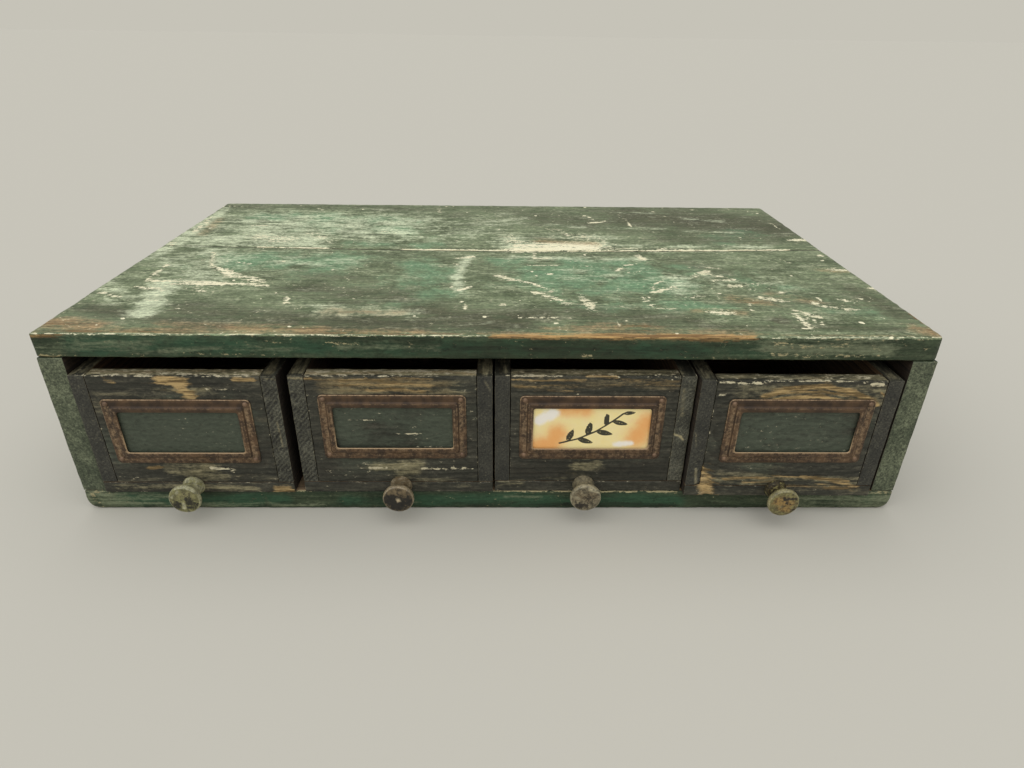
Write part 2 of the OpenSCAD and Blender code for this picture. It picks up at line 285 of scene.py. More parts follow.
def year_rings(tree, noises):
    """Lines of hard late wood, 0 to 1, along the board or round its heart."""
    figure = add(tree, "Attribute", {}, out="Fac", attribute_name="figure")
    wavy = add(tree, "Math", {0: noises["mottle"], 1: 0.9, 2: figure}, operation="MULTIPLY_ADD")
    wavy = add(tree, "Math", {0: noises["streak"], 1: 0.3, 2: wavy}, operation="MULTIPLY_ADD")
    saw = add(tree, "Math", {0: wavy}, operation="FRACT")
    return add(
        tree, "MapRange", {"Value": saw, "From Min": 0.3, "From Max": 1.0},
        interpolation_type="SMOOTHSTEP",
    )


# Old oil paint over a pale undercoat: patchy, chalky, flecked and scratched to cream, and worn to wood
def worn_paint(name, tones, wear, sizes, roughness):
    material, tree, surface = new_material(name)
    noises = grain_noises(tree, sizes, offset=(3.0, 7.0, 1.0))
    rings = year_rings(tree, noises)
    amount = {k: add(tree, "Attribute", {}, out="Fac", attribute_name=k) for k in (*WEARS, "edge_mm")}
    speckle = add(tree, "Mix", {0: 0.55, 2: noises["grit"], 3: noises["chip"]})
    wisps = add(tree, "Mix", {0: 0.45, 2: noises["streak"], 3: speckle})
    dabs = add(tree, "Mix", {0: 0.6, 2: speckle, 3: noises["streak"]})
    lines = add(tree, "Mix", {0: wear["figured"], 2: noises["fibre"], 3: rings})
    filled = add(tree, "Math", {0: amount["teal"], 1: wear["filled"]}, operation="MULTIPLY")
    lines = add(tree, "Mix", {0: filled, 2: lines, 3: 0.5})
    colour = add(
        tree, "Mix", {0: noises["mottle"], 6: linear(tones["deep"]), 7: linear(tones["coat"])}, **OVER,
    )
    chalk = add(
        tree, "MapRange", {"Value": wisps, "From Min": 0.35, "From Max": 0.85, "To Max": wear["chalk"]},
        interpolation_type="SMOOTHSTEP",
    )
    colour = add(tree, "Mix", {0: chalk, 6: colour, 7: linear(tones["chalk"])}, **OVER)
    for kind, waves, grip, soft, strength in (
        ("teal", noises["mottle"], 0.9, 0.3, 0.8), ("grime", wisps, 1.3, 0.35, 0.8),
        ("pale", dabs, 1.4, 0.36, 0.8), ("stain", dabs, 1.1, 0.36, 0.8),
    ):
        limit = add(tree, "MapRange", {"Value": amount[kind], "From Max": 0.3, "To Max": strength})
        where = broken(tree, amount[kind], waves, grip, soft)
        where = add(tree, "Math", {0: where, 1: limit}, operation="MULTIPLY")
        colour = add(tree, "Mix", {0: where, 6: colour, 7: linear(tones[kind])}, **OVER)
    for waves, depth in ((lines, wear["lined"]), (speckle, -wear["speckled"])):
        shade = add(tree, "MapRange", {"Value": waves, "To Min": 1 + depth, "To Max": 1 - depth})
        colour = add(tree, "Mix", {0: 1.0, 6: colour, 7: shade}, **TIMES)
    # Chips down to the undercoat: the placed ones, stray ones, round flecks, scratches and the arrises
    stray = add(tree, "MapRange", {"Value": noises["mottle"], "From Min": 0.3, "To Max": wear["stray"]})
    arris = add(
        tree, "MapRange",
        {"Value": amount["edge_mm"], "From Max": wear["reach"], "To Min": wear["arris"], "To Max": 0.0},
    )
    place = add(tree, "TexCoord", {}, out="Object")
    bent = add(tree, "TexNoise", {"Vector": place, "Scale": 1000 / 60, "Detail": 4.0}, out="Color")
    bent = add(tree, "VectorMath", {0: bent, 1: (0.03,) * 3, 2: place}, operation="MULTIPLY_ADD")
    cell = add(
        tree, "TexVoronoi", {"Vector": bent, "Scale": 1000 / 75}, out="Distance",
        feature="DISTANCE_TO_EDGE",
    )
    scratch = add(
        tree, "MapRange", {"Value": cell, "From Max": 0.012, "To Min": wear["scratches"], "To Max": 0.0},
    )
    dots = add(tree, "TexVoronoi", {"Vector": bent, "Scale": 1000 / wear["fleck_mm"]}, out="Distance")
    size = add(
        tree, "MapRange",
        {"Value": dots.node.outputs["Color"], "From Min": 0.5, "From Max": 0.9, "To Max": wear["flecks"]},
    )
    inside = add(tree, "Math", {0: size, 1: dots}, operation="SUBTRACT")
    fleck = add(tree, "MapRange", {"Value": inside, "From Max": 0.12, "To Max": 0.8})
    dry = add(tree, "Mix", {0: 0.6, 2: noises["streak"], 3: noises["fibre"]})
    strength = add(
        tree, "MapRange", {"Value": dry, "From Min": 0.3, "From Max": 0.7, "To Min": 0.5, "To Max": 1.15},
    )
    chipped = add(tree, "Math", {0: amount["cream"], 1: strength}, operation="MULTIPLY")
    for other in (stray, arris, scratch, fleck):
        chipped = add(tree, "Math", {0: chipped, 1: other}, operation="MAXIMUM")
    chips = broken(tree, chipped, speckle, grip=1.4, soft=0.1)
    dirty = add(tree, "Math", {0: wisps, 1: 0.7}, operation="MULTIPLY")
    under = add(
        tree, "Mix", {0: dirty, 6: linear(tones["under"]), 7: linear(tones["under_dirty"])}, **OVER,
    )
    colour = add(tree, "Mix", {0: chips, 6: colour, 7: under}, **OVER)
    # Bare wood where hands and drawers rubbed through, first along the raised lines of the grain
    limit = add(tree, "MapRange", {"Value": amount["bare"], "From Max": 0.3, "To Max": 0.9})
    rubs = add(tree, "Mix", {0: 0.35, 2: lines, 3: speckle})
    rub = broken(tree, amount["bare"], rubs, grip=1.3, soft=0.24)
    rub = add(tree, "Math", {0: rub, 1: limit}, operation="MULTIPLY")
    late = add(tree, "MapRange", {"Value": noises["fibre"], "From Min": 0.36, "From Max": 0.64})
    wood = add(tree, "Mix", {0: late, 6: linear(tones["wood"]), 7: linear(tones["wood_dark"])}, **OVER)
    colour = add(tree, "Mix", {0: rub, 6: colour, 7: wood}, **OVER)
    dirt = add(
        tree, "MapRange",
        {"Value": noises["grit"], "From Min": 0.6, "From Max": 0.85, "To Min": 1.0, "To Max": 0.55},
    )
    colour = add(tree, "Mix", {0: 1.0, 6: colour, 7: dirt}, **TIMES)
    tree.links.new(colour, surface.inputs["Base Color"])
    gone = add(tree, "Math", {0: chips, 1: rub}, operation="MAXIMUM")
    rough = add(tree, "MapRange", {"Value": gone, "To Min": roughness, "To Max": 0.8})
    tree.links.new(rough, surface.inputs["Roughness"])
    surface.inputs["Specular IOR Level"].default_value = 0.25
    height = add(tree, "Math", {0: lines, 1: -0.5, 2: noises["grit"]}, operation="MULTIPLY_ADD")
    height = add(tree, "Math", {0: gone, 1: -0.4, 2: height}, operation="MULTIPLY_ADD")
    bump = add(tree, "Bump", {"Height": height, "Strength": 0.4, "Distance": 0.5 * MM})
    tree.links.new(bump, surface.inputs["Normal"])
    return material


DARK_GREEN = {
    "deep": "#222f1f", "coat": "#3e4a35", "chalk": "#565e47", "teal": "#2f4e38", "pale": "#777e63",
    "stain": "#6b5c3d", "grime": "#1a1d14", "under": "#c9bf94", "under_dirty": "#7f7350",
    "wood": "#ab8c5a", "wood_dark": "#6b5436",
}
CASE_WEAR = {
    "figured": 0.25, "filled": 0.3, "chalk": 0.6, "lined": 0.45, "speckled": 0.3, "stray": 0.13,
    "reach": 2.0, "arris": 0.3, "scratches": 0.25, "fleck_mm": 9, "flecks": 0.12,
}
# Length, width, detail and roughness of each pattern
# The finest are drawn coarser than life, so that they show
PAINTED_GRAIN = {
    "mottle": (60, 38, 7, 0.66), "streak": (50, 4.5, 6, 0.66), "fibre": (18, 1.9, 5, 0.65),
    "grit": (8, 4.5, 8, 0.74), "chip": (3.4, 1.7, 6, 0.7),
}
green_paint = worn_paint(
    "dark green oil paint on pine", DARK_GREEN, CASE_WEAR, PAINTED_GRAIN, roughness=0.5,
)


PINE_GRAIN = {"mottle": (260, 60, 5, 0.55), "streak": (130, 6, 5, 0.6), "fibre": (45, 1.4, 4, 0.6)}


# Unpainted pine gone brown with age: year rings in darker lines, dull, with dust in the pores
def aged_pine(name, light, dark, grey):
    material, tree, surface = new_material(name)
    noises = grain_noises(tree, PINE_GRAIN, offset=(11.0, 2.0, 5.0))
    rings = year_rings(tree, noises)
    colour = add(tree, "Mix", {0: rings, 6: linear(light), 7: linear(dark)}, **OVER)
    dust = add(
        tree, "MapRange", {"Value": noises["mottle"], "From Min": 0.4, "From Max": 0.7, "To Max": 0.6},
    )
    colour = add(tree, "Mix", {0: dust, 6: colour, 7: linear(grey)}, **OVER)
    lines = add(
        tree, "MapRange",
        {"Value": noises["fibre"], "From Min": 0.3, "From Max": 0.65, "To Min": 1.05, "To Max": 0.7},
    )
    colour = add(tree, "Mix", {0: 1.0, 6: colour, 7: lines}, **TIMES)
    tree.links.new(colour, surface.inputs["Base Color"])
    surface.inputs["Roughness"].default_value = 0.75
    height = add(tree, "Math", {0: rings, 1: 0.6, 2: noises["fibre"]}, operation="MULTIPLY_ADD")
    bump = add(tree, "Bump", {"Height": height, "Strength": 0.4, "Distance": 0.4 * MM})
    tree.links.new(bump, surface.inputs["Normal"])
    return material


bare_pine = aged_pine("aged bare pine", "#a98b63", "#866a4b", "#85755f")
FRONT_EDGE = {
    "cream": [
        ([(-6, 17.6), (60, 17.6), (150, 17)], 1.1, 0.75), ([(-175, 18), (-148, 18)], 1.2, 0.7),
        ([(-328, 17), (-312, 18)], 2, 0.5), ([(-326, 6), (-318, 2)], 3, 0.4),
        ([(312, 17), (330, 16)], 2, 0.45),
    ],
    "pale": [
        ([(-326, 10), (-302, 8)], 9, 0.75), ([(-318, 16), (-290, 4)], 6, 0.7),
        ([(-290, 8), (-250, 10)], 7, 0.5), ([(-240, 3), (-140, 3)], 2, 0.7),
        ([(250, 6), (326, 8)], 8, 0.7), ([(10, 12), (40, 12)], 1.2, 0.5),
        ([(-90, 8), (-60, 6)], 2, 0.5),
    ],
    "teal": [
        ([(-300, 9), (-170, 9)], 6, 0.8), ([(-120, 9), (150, 8)], 7, 0.8),
        ([(250, 9), (310, 9)], 6, 0.5),
    ],
    "grime": [([(-20, 4), (150, 3)], 3, 0.5)],
}
for node in ("bottom_front_board", "bottom_rear_board"):
    low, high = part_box(node)
    feet = (1, 2, low.z, FOOT_ROUND)
    board = cut_board(node + "_worn", low, high, (BOTTOM_CELL,) * 3, BOARD_EASE, feet)
    refine(board, lambda normal: abs(normal.z) < 0.9)
    refine(board, lambda normal: normal.y < -0.6)
    edge_mm = lay_grain(board, low, high, along=0, ring_mm=6.0)
    store_wear(board, corners_of(board)[:, [0, 2]], FRONT_EDGE)
    weather(board, edge_mm, hollow=0.25 * MM, knock=0.7 * MM, reach=3.5)
    at_front = node == "bottom_front_board"
    finish_faces(
        board, [green_paint, bare_pine],
        lambda n, p: np.where((np.abs(n[:, 0]) > 0.4) | (at_front & (p[:, 1] < PAINT_TO)), 0, 1),
    )
    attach(board, "case")
    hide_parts(node)


# Sides of the case
# Two pine boards set on the bottom with their end grain to the front, painted green outside.
# The saw left the end grain open, so the paint there is speckled; inside the wood is bare, and darkened as
# painted shade.
SIDE_CELL = 3.5 * MM
SIDE_EASE = 0.7 * MM


# Paint soaked into sawn end grain: fine pale fibres and dark pores, with painted shade in the saw's grooves
def painted_end_grain(name, light, mid, pore, rubbed_tone, pore_mm):
    material, tree, surface = new_material(name)
    place = add(tree, "TexCoord", {}, out="Object")
    speckle = add(
        tree, "TexNoise", {"Vector": place, "Scale": 1000 / pore_mm, "Detail": 5.0, "Roughness": 0.7},
    )
    patches = add(
        tree, "TexNoise",
        {"Vector": place, "Scale": 1000 / (14 * pore_mm), "Detail": 5.0, "Roughness": 0.65},
    )
    open_pores = add(
        tree, "MapRange", {"Value": speckle, "From Min": 0.42, "From Max": 0.64, "To Max": 0.9},
    )
    faded = add(
        tree, "MapRange", {"Value": patches, "From Min": 0.3, "From Max": 0.7},
        interpolation_type="SMOOTHSTEP",
    )
    colour = add(tree, "Mix", {0: faded, 6: linear(mid), 7: linear(light)}, **OVER)
    specks = add(tree, "MapRange", {"Value": speckle, "From Min": 0.4, "From Max": 0.28, "To Max": 0.7})
    colour = add(tree, "Mix", {0: specks, 6: colour, 7: linear(rubbed_tone)}, **OVER)
    colour = add(tree, "Mix", {0: open_pores, 6: colour, 7: linear(pore)}, **OVER)
    edge = add(tree, "Attribute", {}, out="Fac", attribute_name="edge_mm")
    arris = add(tree, "MapRange", {"Value": edge, "From Max": 1.6, "To Min": 0.5, "To Max": 0.0})
    scuff = add(tree, "Attribute", {}, out="Fac", attribute_name="scuff")
    worn = add(tree, "Math", {0: arris, 1: scuff}, operation="MAXIMUM")
    rubbed = broken(tree, worn, speckle, grip=0.9, soft=0.2)
    colour = add(tree, "Mix", {0: rubbed, 6: colour, 7: linear(rubbed_tone)}, **OVER)
    # Painted shade: the colour is darkened in the saw's grooves
    groove = add(tree, "Attribute", {}, out="Fac", attribute_name="groove")
    shade = add(tree, "MapRange", {"Value": groove, "To Min": 1.0, "To Max": 0.15})
    colour = add(tree, "Mix", {0: 1.0, 6: colour, 7: shade}, **TIMES)
    tree.links.new(colour, surface.inputs["Base Color"])
    surface.inputs["Roughness"].default_value = 0.65
    bump = add(tree, "Bump", {"Height": speckle, "Strength": 0.35, "Distance": 0.5 * MM}, invert=True)
    tree.links.new(bump, surface.inputs["Normal"])
    return material


case_end_grain = painted_end_grain(
    "green paint on open end grain", "#777e62", "#49523c", "#20261a", "#a3a88c", pore_mm=1.5,
)
# Bare pine for the insides of the case, the top's underside and the drawers' outer sides: aged brown, and
# darkened further as painted shade
shaded_dark_pine = aged_pine("dark bare pine with painted shade", "#352a1d", "#231c13", "#272017")
SIDE_WEAR = {
    "cream": [
        ([(-190, 130), (-150, 128)], 3, 0.5), ([(20, 60), (60, 66)], 3, 0.7),
        ([(90, 30), (120, 24)], 4, 0.6),
    ],
    "pale": [
        ([(-150, 80), (-60, 90)], 22, 0.5), ([(40, 100), (150, 96)], 18, 0.5),
        ([(100, 40), (170, 50)], 14, 0.4),
    ],
    "teal": [([(-120, 50), (20, 60)], 26, 0.7), ([(60, 80), (160, 70)], 24, 0.6)],
    "grime": [([(-197, 22), (197, 22)], 6, 0.6), ([(-60, 110), (30, 115)], 12, 0.4)],
    "bare": [([(-197, 30), (-196, 110)], 2, 0.5)],
}
for node, outward in (("left_side", -1), ("right_side", 1)):
    low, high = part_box(node)
    board = cut_board(node + "_worn", low, high, (2.4 * MM, SIDE_CELL, 2.8 * MM), SIDE_EASE)
    edge_mm = lay_grain(board, low, high, along=1, ring_mm=6.5)
    places = corners_of(board)
    store_wear(board, places[:, [1, 2]] * [outward, 1], SIDE_WEAR)
    weather(board, edge_mm, hollow=0.25 * MM, knock=0.5 * MM, reach=3.0)
    # The inner faces take the pine darkened as painted shade
    finish_faces(
        board, [green_paint, case_end_grain, shaded_dark_pine],
        lambda n, p: np.where(np.abs(n[:, 1]) > 0.7, 1, np.where(n[:, 0] * outward > -0.5, 0, 2)),
    )
    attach(board, "case")
    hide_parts(node)


# Back of the case
# One pine board let in between the top, the bottom and the sides, and nailed round its edges.
# It was never painted, and stops the drawers.
low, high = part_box("back_board")
board = cut_board("back_board_worn", low, high, (5 * MM, 4 * MM, 4 * MM), BOARD_EASE)
edge_mm = lay_grain(board, low, high, along=0, ring_mm=8.0)
weather(board, edge_mm, hollow=0.5 * MM, knock=1.0 * MM, reach=4.0)
finish_faces(board, [bare_pine])
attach(board, "case")
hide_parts("back_board")


# Top of the case
# Two pine boards edge to edge, nailed down on the sides and the back, and sagged a little at the joint.
# Green paint over a cream coat, chalked pale by light, scratched, chipped, and rubbed to wood in front.
TOP_CELL = 3.0 * MM
SAG = 3.2 * MM
TOP_CORNER = {"top_front_board": 2.5 * MM, "top_rear_board": 6 * MM}
# Where the rounding of the front right corner starts
WORN_CORNER = (324.0, 191.5)
# The top's front, end and back faces start just beyond these, in millimetres
FRONT_FROM = -196.7
ENDS_FROM = 329.0
BACK_FROM = 196.7
# Wear of the flat fades out over the upper part of the ends and the back
FADED_AT = 148.0
FADED_OVER = 7.0
CHALKED = {"pale": 0.16}
# The boards sag most in the middle of their joint
SAG_HALF_WIDTH = 318.0
JOINT_Y = 20.5
SAG_REACH = 170.0
SAG_CURVE = 1.4
TOP_WEAR = {
    "cream": [
        ([(22, 25), (60, 26), (100, 27)], 7, 1.3), ([(30, 31), (92, 33)], 12.5, 1.05),
        ([(10, 24), (124, 26)], 4.5, 0.62), ([(40, 40), (56, 37)], 9, 0.42),
        ([(84, 46), (108, 36)], 11, 0.5), ([(14, 66), (22, 46)], 8, 0.5),
        ([(10, 50), (30, 40)], 6, 0.4), ([(64, 94), (80, 74)], 10, 0.42),
        ([(80, 72), (106, 56)], 14, 0.45), ([(-92, 21.4), (10, 21.6)], 1.2, 1.25),
        ([(108, 22), (298, 21.6)], 1.2, 1.1), ([(120, 30), (200, 28)], 5, 0.4),
        ([(-238, 21.4), (-168, 21.4)], 1.1, 1.0), ([(-246, 56), (-212, 46)], 14, 0.52),
        ([(-190, 62), (-180, 50)], 8, 0.5), ([(-196, 70), (-170, 44)], 8, 0.5),
        ([(-252, -46), (-233, -69), (-210, -74)], 2.4, 0.95), ([(-246, -52), (-226, -68)], 4, 0.8),
        ([(-224, -70), (-200, -84)], 4, 0.78), ([(-262, -88), (-214, -90)], 3.4, 0.78),
        ([(-300, -100), (-284, -104)], 3, 0.72), ([(-240, -30), (-226, -34)], 3, 0.64),
        ([(-236, -62), (-229, -72)], 5, 0.9), ([(-212, -76), (-204, -92)], 4, 0.7),
        ([(-298, -85), (-250, -86), (-192, -94)], 2.2, 0.85), ([(-272, -92), (-230, -93)], 2, 0.9),
        ([(-299, -40), (-298, -84)], 2, 0.75), ([(-272, -2), (-258, -45)], 2.5, 0.65),
        ([(-250, -100), (-240, -112)], 3, 0.6), ([(-168, -121), (-164, -136)], 2, 0.9),
        ([(-35, -8), (-20, -4)], 2.6, 1.0), ([(-37, -28), (-34, -30)], 2, 0.9),
        ([(-31, -104), (-20, -94)], 2.2, 0.95), ([(-25, -130), (-23, -146)], 1.5, 0.8),
        ([(2, -62), (12, -72), (30, -80), (42, -94), (49, -103)], 3.2, 0.74),
        ([(34, -107), (48, -118), (59, -133)], 3.6, 0.78), ([(6, -62), (18, -75)], 3.4, 0.62),
        ([(44, -114), (56, -130)], 4, 0.62), ([(72, -118), (80, -138)], 4, 0.6),
        ([(72, -111), (77, -146)], 3.4, 0.68), ([(68, -128), (88, -130)], 1.4, 0.7),
        ([(38, 10), (38, -8), (54, -5)], 1.6, 0.8), ([(142, 4), (144, -11)], 3, 0.9),
        ([(113, -45), (124, -29), (134, -24)], 1.8, 0.75),
        ([(134, -104), (140, -84), (150, -72)], 1.6, 0.7), ([(134, -105), (156, -91)], 3, 0.75),
        ([(50, -56)], 2.6, 1.0), ([(30, -30), (64, -31)], 1.0, 0.7),
        ([(78, -32), (110, -33)], 0.9, 0.6), ([(153, 138), (151, 100)], 1.1, 0.8),
        ([(106, 121), (120, 124), (126, 130)], 2, 0.8), ([(108, 150), (113, 133)], 3, 0.55),
        ([(140, 156), (148, 140)], 1, 0.6), ([(240, 184)], 3, 0.7), ([(264, 66)], 2.6, 0.85),
        ([(261, 94), (263, 80)], 1.0, 0.6), ([(162, 82)], 2, 0.7), ([(314, 54), (330, 56)], 4, 0.9),
        ([(317, 128), (316, 92)], 1.4, 0.65), ([(322, 0)], 3.4, 0.9),
        ([(314, -42), (330, -46)], 6, 0.6), ([(328, -92)], 4, 0.8), ([(276, -12), (282, -22)], 2, 0.6),
        ([(190, -52), (206, -64)], 3.5, 0.6), ([(200, -36), (212, -40)], 2, 0.6),
        ([(221, -96)], 3.4, 0.7), ([(244, -104)], 3, 0.7), ([(222, -117), (238, -124)], 4, 0.64),
        ([(262, -128), (270, -139), (286, -142)], 4.5, 0.6), ([(196, -74), (214, -70)], 4, 0.62),
        ([(206, -88), (230, -84)], 5, 0.6), ([(180, -60), (196, -46)], 4, 0.62),
        ([(240, -146), (252, -158)], 4, 0.64), ([(286, -120), (296, -126)], 4, 0.62),
        ([(160, -120), (176, -112)], 4, 0.58), ([(124, -118), (128, -136)], 3, 0.6),
        ([(268, -112), (270, -124)], 1.5, 0.75), ([(208, -130), (204, -146)], 1.6, 0.6),
        ([(169, -150), (186, -151)], 4.4, 0.75), ([(172, -142), (180, -144)], 3, 0.6),
        ([(236, -152), (238, -184)], 2.6, 0.75), ([(244, -160), (250, -172)], 2, 0.6),
        ([(-320, -115), (-302, -124)], 2.6, 0.7), ([(-298, -102)], 2.4, 0.7), ([(8, -136)], 2.4, 0.8),
        ([(-104, -118)], 2, 0.6), ([(-152, -146), (-146, -150)], 2, 0.6),
        ([(-323, 130), (-319, 70)], 3.4, 0.62), ([(-326, 30), (-320, 14)], 3, 0.6),
        ([(-322, 182), (-300, 178)], 3, 0.5), ([(-214, 176), (-206, 166)], 2, 0.6),
        ([(-258, 144)], 2, 0.7), ([(84, 160)], 2, 0.6), ([(-120, 80), (-108, 72)], 4, 0.6),
        ([(-70, 178), (-66, 160)], 2.4, 0.5), ([(-270, 98), (-250, 97)], 1.2, 0.6),
        ([(-330, -196.4), (-60, -196.7), (0, -196.7)], 0.9, 0.58),
        ([(190, -196), (330, -195.4)], 0.9, 0.56), ([(-279, -96), (-271, -130)], 7, 0.4),
        ([(20, -163), (50, -162)], 1.5, 0.6), ([(92, -140), (94, -178)], 1.2, 0.55),
        ([(128, -142), (144, -143)], 1.2, 0.7),
    ],
    "bare": [
        ([(0, -195.6), (60, -196), (190, -195.6)], 2.2, 0.8), ([(120, -193), (175, -193.5)], 3, 0.6),
        ([(-326, -180), (-300, -189)], 8, 0.3), ([(24, -192.5), (110, -193)], 2.5, 0.58),
        ([(-300, -193), (-215, -194.5)], 3, 0.4), ([(-186, -188), (-130, -190)], 5, 0.34),
        ([(-120, -193), (-60, -195)], 3, 0.4), ([(-132, -148), (-66, -158)], 9, 0.3),
        ([(48, 52), (98, 44)], 8, 0.4), ([(82, -176), (112, -180)], 6, 0.42),
        ([(200, -120), (216, -130)], 6, 0.36), ([(326, -190), (330, -150)], 2, 0.6),
    ],
    "pale": [
        ([(-260, 100), (-120, 100)], 56, 0.54), ([(-240, 130), (-90, 124)], 34, 0.46),
        ([(-290, 40), (-190, 46)], 28, 0.6), ([(-279, -92), (-272, -126), (-267, -156)], 10, 0.85),
        ([(-296, -30), (-250, -80)], 20, 0.5), ([(-276, 4), (-256, -30)], 14, 0.5),
        ([(-270, 0), (-220, -20)], 14, 0.42), ([(-230, -26), (-150, -24)], 30, 0.34),
        ([(-330, -196.5), (-4, -196.5)], 1.0, 0.55), ([(194, -196.5), (330, -196.5)], 1.0, 0.6),
        ([(-50, 60), (20, 130)], 24, 0.4), ([(-60, 110), (10, 156)], 20, 0.32),
        ([(-26, -4), (-33, -60), (-29, -104)], 5, 0.7), ([(164, -70), (160, -104)], 15, 0.55),
        ([(190, -70), (240, -80)], 22, 0.3), ([(20, -4), (140, -10)], 9, 0.5),
        ([(205, -96), (280, -150)], 22, 0.2), ([(-134, -146), (-66, -158)], 11, 0.52),
        ([(-322, 170), (-316, 20)], 8, 0.6), ([(60, -62), (130, -56)], 30, 0.3),
        ([(-330, -90), (-300, -130)], 14, 0.4), ([(10, 52), (110, 60)], 22, 0.45),
        ([(20, 36), (106, 40)], 12, 0.75), ([(100, 34), (280, 32)], 8, 0.45),
        ([(-180, 70), (-90, 60)], 16, 0.4), ([(-240, 60), (-206, 44)], 16, 0.75),
        ([(-326, 120), (-322, -20)], 9, 0.6), ([(-150, 120), (-100, 74)], 24, 0.5),
        ([(116, 104), (190, 98)], 6, 0.4), ([(220, 140), (262, 132)], 7, 0.36),
        ([(210, 90), (270, 84)], 5, 0.4), ([(150, 168), (206, 164)], 6, 0.36),
        ([(60, 112), (96, 104)], 6, 0.4),
    ],
    "stain": [
        ([(-326, -176), (-292, -186)], 12, 0.6), ([(-290, -188), (-210, -191)], 7, 0.5),
        ([(-190, -186), (-126, -189)], 8, 0.6), ([(-110, -190), (-50, -192)], 5, 0.5),
        ([(-128, -150), (-72, -156)], 9, 0.42), ([(60, -182), (120, -184)], 10, 0.5),
        ([(318, -180), (326, -192)], 8, 0.6), ([(-330, -193.5), (-4, -194)], 2.5, 0.46),
        ([(0, -192.5), (200, -192.5)], 3, 0.5), ([(200, -193.5), (320, -193)], 2, 0.36),
        ([(198, -118), (222, -132)], 9, 0.45), ([(46, 54), (100, 46)], 10, 0.5),
        ([(-312, 120), (-306, 60)], 8, 0.4), ([(-246, -180), (-200, -184)], 8, 0.4),
        ([(306, -44), (324, -48)], 8, 0.45), ([(160, -146), (196, -150)], 7, 0.45),
        ([(40, -184), (190, -190)], 6, 0.5), ([(234, -110), (262, -124)], 10, 0.36),
    ],
    "teal": [
        ([(-230, -26), (-150, -24)], 32, 0.62), ([(-70, -30), (-60, -110)], 30, 0.55),
        ([(50, -60), (140, -66)], 42, 0.72), ([(-200, 110), (-100, 96)], 40, 0.5),
        ([(-262, 132), (-240, 126)], 24, 0.6), ([(0, -20), (120, -20)], 14, 0.5),
        ([(60, -130), (180, -140)], 16, 0.5), ([(220, -60), (290, -150)], 22, 0.4),
        ([(-150, 40), (-60, 34)], 10, 0.5), ([(240, 60), (290, 90)], 26, 0.4),
    ],
    "grime": [
        ([(-160, -100), (-80, -118)], 20, 0.55), ([(-10, -164), (40, -158)], 16, 0.7),
        ([(-240, -150), (-150, -168)], 20, 0.6), ([(-120, -172), (0, -176)], 20, 0.72),
        ([(-310, -150), (-200, -182)], 14, 0.62), ([(-60, -150), (20, -172)], 18, 0.72),
        ([(20, 150), (110, 120)], 36, 0.55), ([(170, 150), (300, 110)], 56, 0.75),
        ([(40, 66), (60, 56)], 9, 0.5), ([(-267, 124)], 16, 0.45), ([(-162, 79)], 16, 0.5),
        ([(180, 60), (300, 60)], 20, 0.5), ([(-330, 19.4), (330, 19.4)], 1.8, 1.0),
        ([(220, -166)], 7, 0.85), ([(-330, -170), (-290, -184)], 12, 0.45),
        ([(310, -100), (320, -160)], 16, 0.6), ([(-40, 150), (10, 110)], 24, 0.36),
        ([(-320, 180), (-120, 184)], 12, 0.4), ([(60, -175), (300, -180)], 8, 0.5),
        ([(64, -152), (150, -166)], 15, 0.58), ([(-140, -108), (-110, -128)], 16, 0.5),
        ([(230, -120), (300, -140)], 18, 0.36), ([(56, 52), (98, 44)], 7, 0.5),
        ([(-320, -140), (-290, -170)], 12, 0.4), ([(180, -20), (215, -60)], 16, 0.4),
        ([(130, 90), (240, 80)], 22, 0.4), ([(-170, -60), (-110, -80)], 14, 0.4),
        ([(-140, 170), (60, 186)], 14, 0.4),
    ],
}
TOP_FRONT = {
    "cream": [
        ([(-330, 155.6), (190, 155.4)], 0.6, 0.5), ([(190, 155.2), (330, 154.6)], 0.8, 0.5),
        ([(205, 151), (232, 149)], 2, 0.5), ([(200, 143), (225, 141), (290, 141)], 1.4, 0.5),
        ([(238, 148), (262, 151)], 1.6, 0.5), ([(-120, 150), (-96, 149)], 1.0, 0.6),
        ([(-160, 150), (-150, 151)], 1.6, 0.55), ([(66, 140), (72, 141)], 1.6, 0.6),
        ([(168, 150), (166, 143)], 1.0, 0.5), ([(-326, 139), (-310, 138.4)], 1.4, 0.6),
        ([(-230, 141), (-150, 140)], 1.0, 0.36), ([(120, 139), (190, 138.5)], 0.9, 0.4),
        ([(276, 150), (284, 146)], 1.2, 0.55),
    ],
    "bare": [
        ([(-2, 155.2), (190, 154.8)], 1.5, 0.9), ([(100, 153.4), (180, 153)], 1.4, 0.5),
        ([(-330, 154), (-306, 155)], 1.4, 0.6),
    ],
    "pale": [
        ([(200, 148), (290, 147)], 7, 0.72), ([(-110, 147), (-40, 146)], 3, 0.45),
        ([(-330, 148), (-250, 146)], 6, 0.5), ([(-240, 143), (-140, 144)], 3, 0.4),
    ],
    "teal": [([(-300, 147), (-10, 146)], 7, 0.6), ([(0, 146), (200, 145)], 7, 0.5)],
    "grime": [([(-60, 145), (150, 143)], 6, 0.5), ([(-310, 141), (-240, 141)], 3, 0.4)],
}
FADED_GREEN = {
    "deep": "#485336", "coat": "#7f8b69", "chalk": "#b2b892", "teal": "#6f936e", "pale": "#d8e0bc",
    "stain": "#a5875f", "grime": "#474330", "under": "#fffadb", "under_dirty": "#ddd2a2",
    "wood": "#cfa468", "wood_dark": "#7f5f3b",
}
TOP_SCUFFS = {
    "figured": 0.1, "filled": 0.3, "chalk": 0.44, "lined": 0.38, "speckled": 0.72, "stray": 0.24,
    "reach": 1.8, "arris": 0.16, "scratches": 0.34, "fleck_mm": 11, "flecks": 0.25,
}
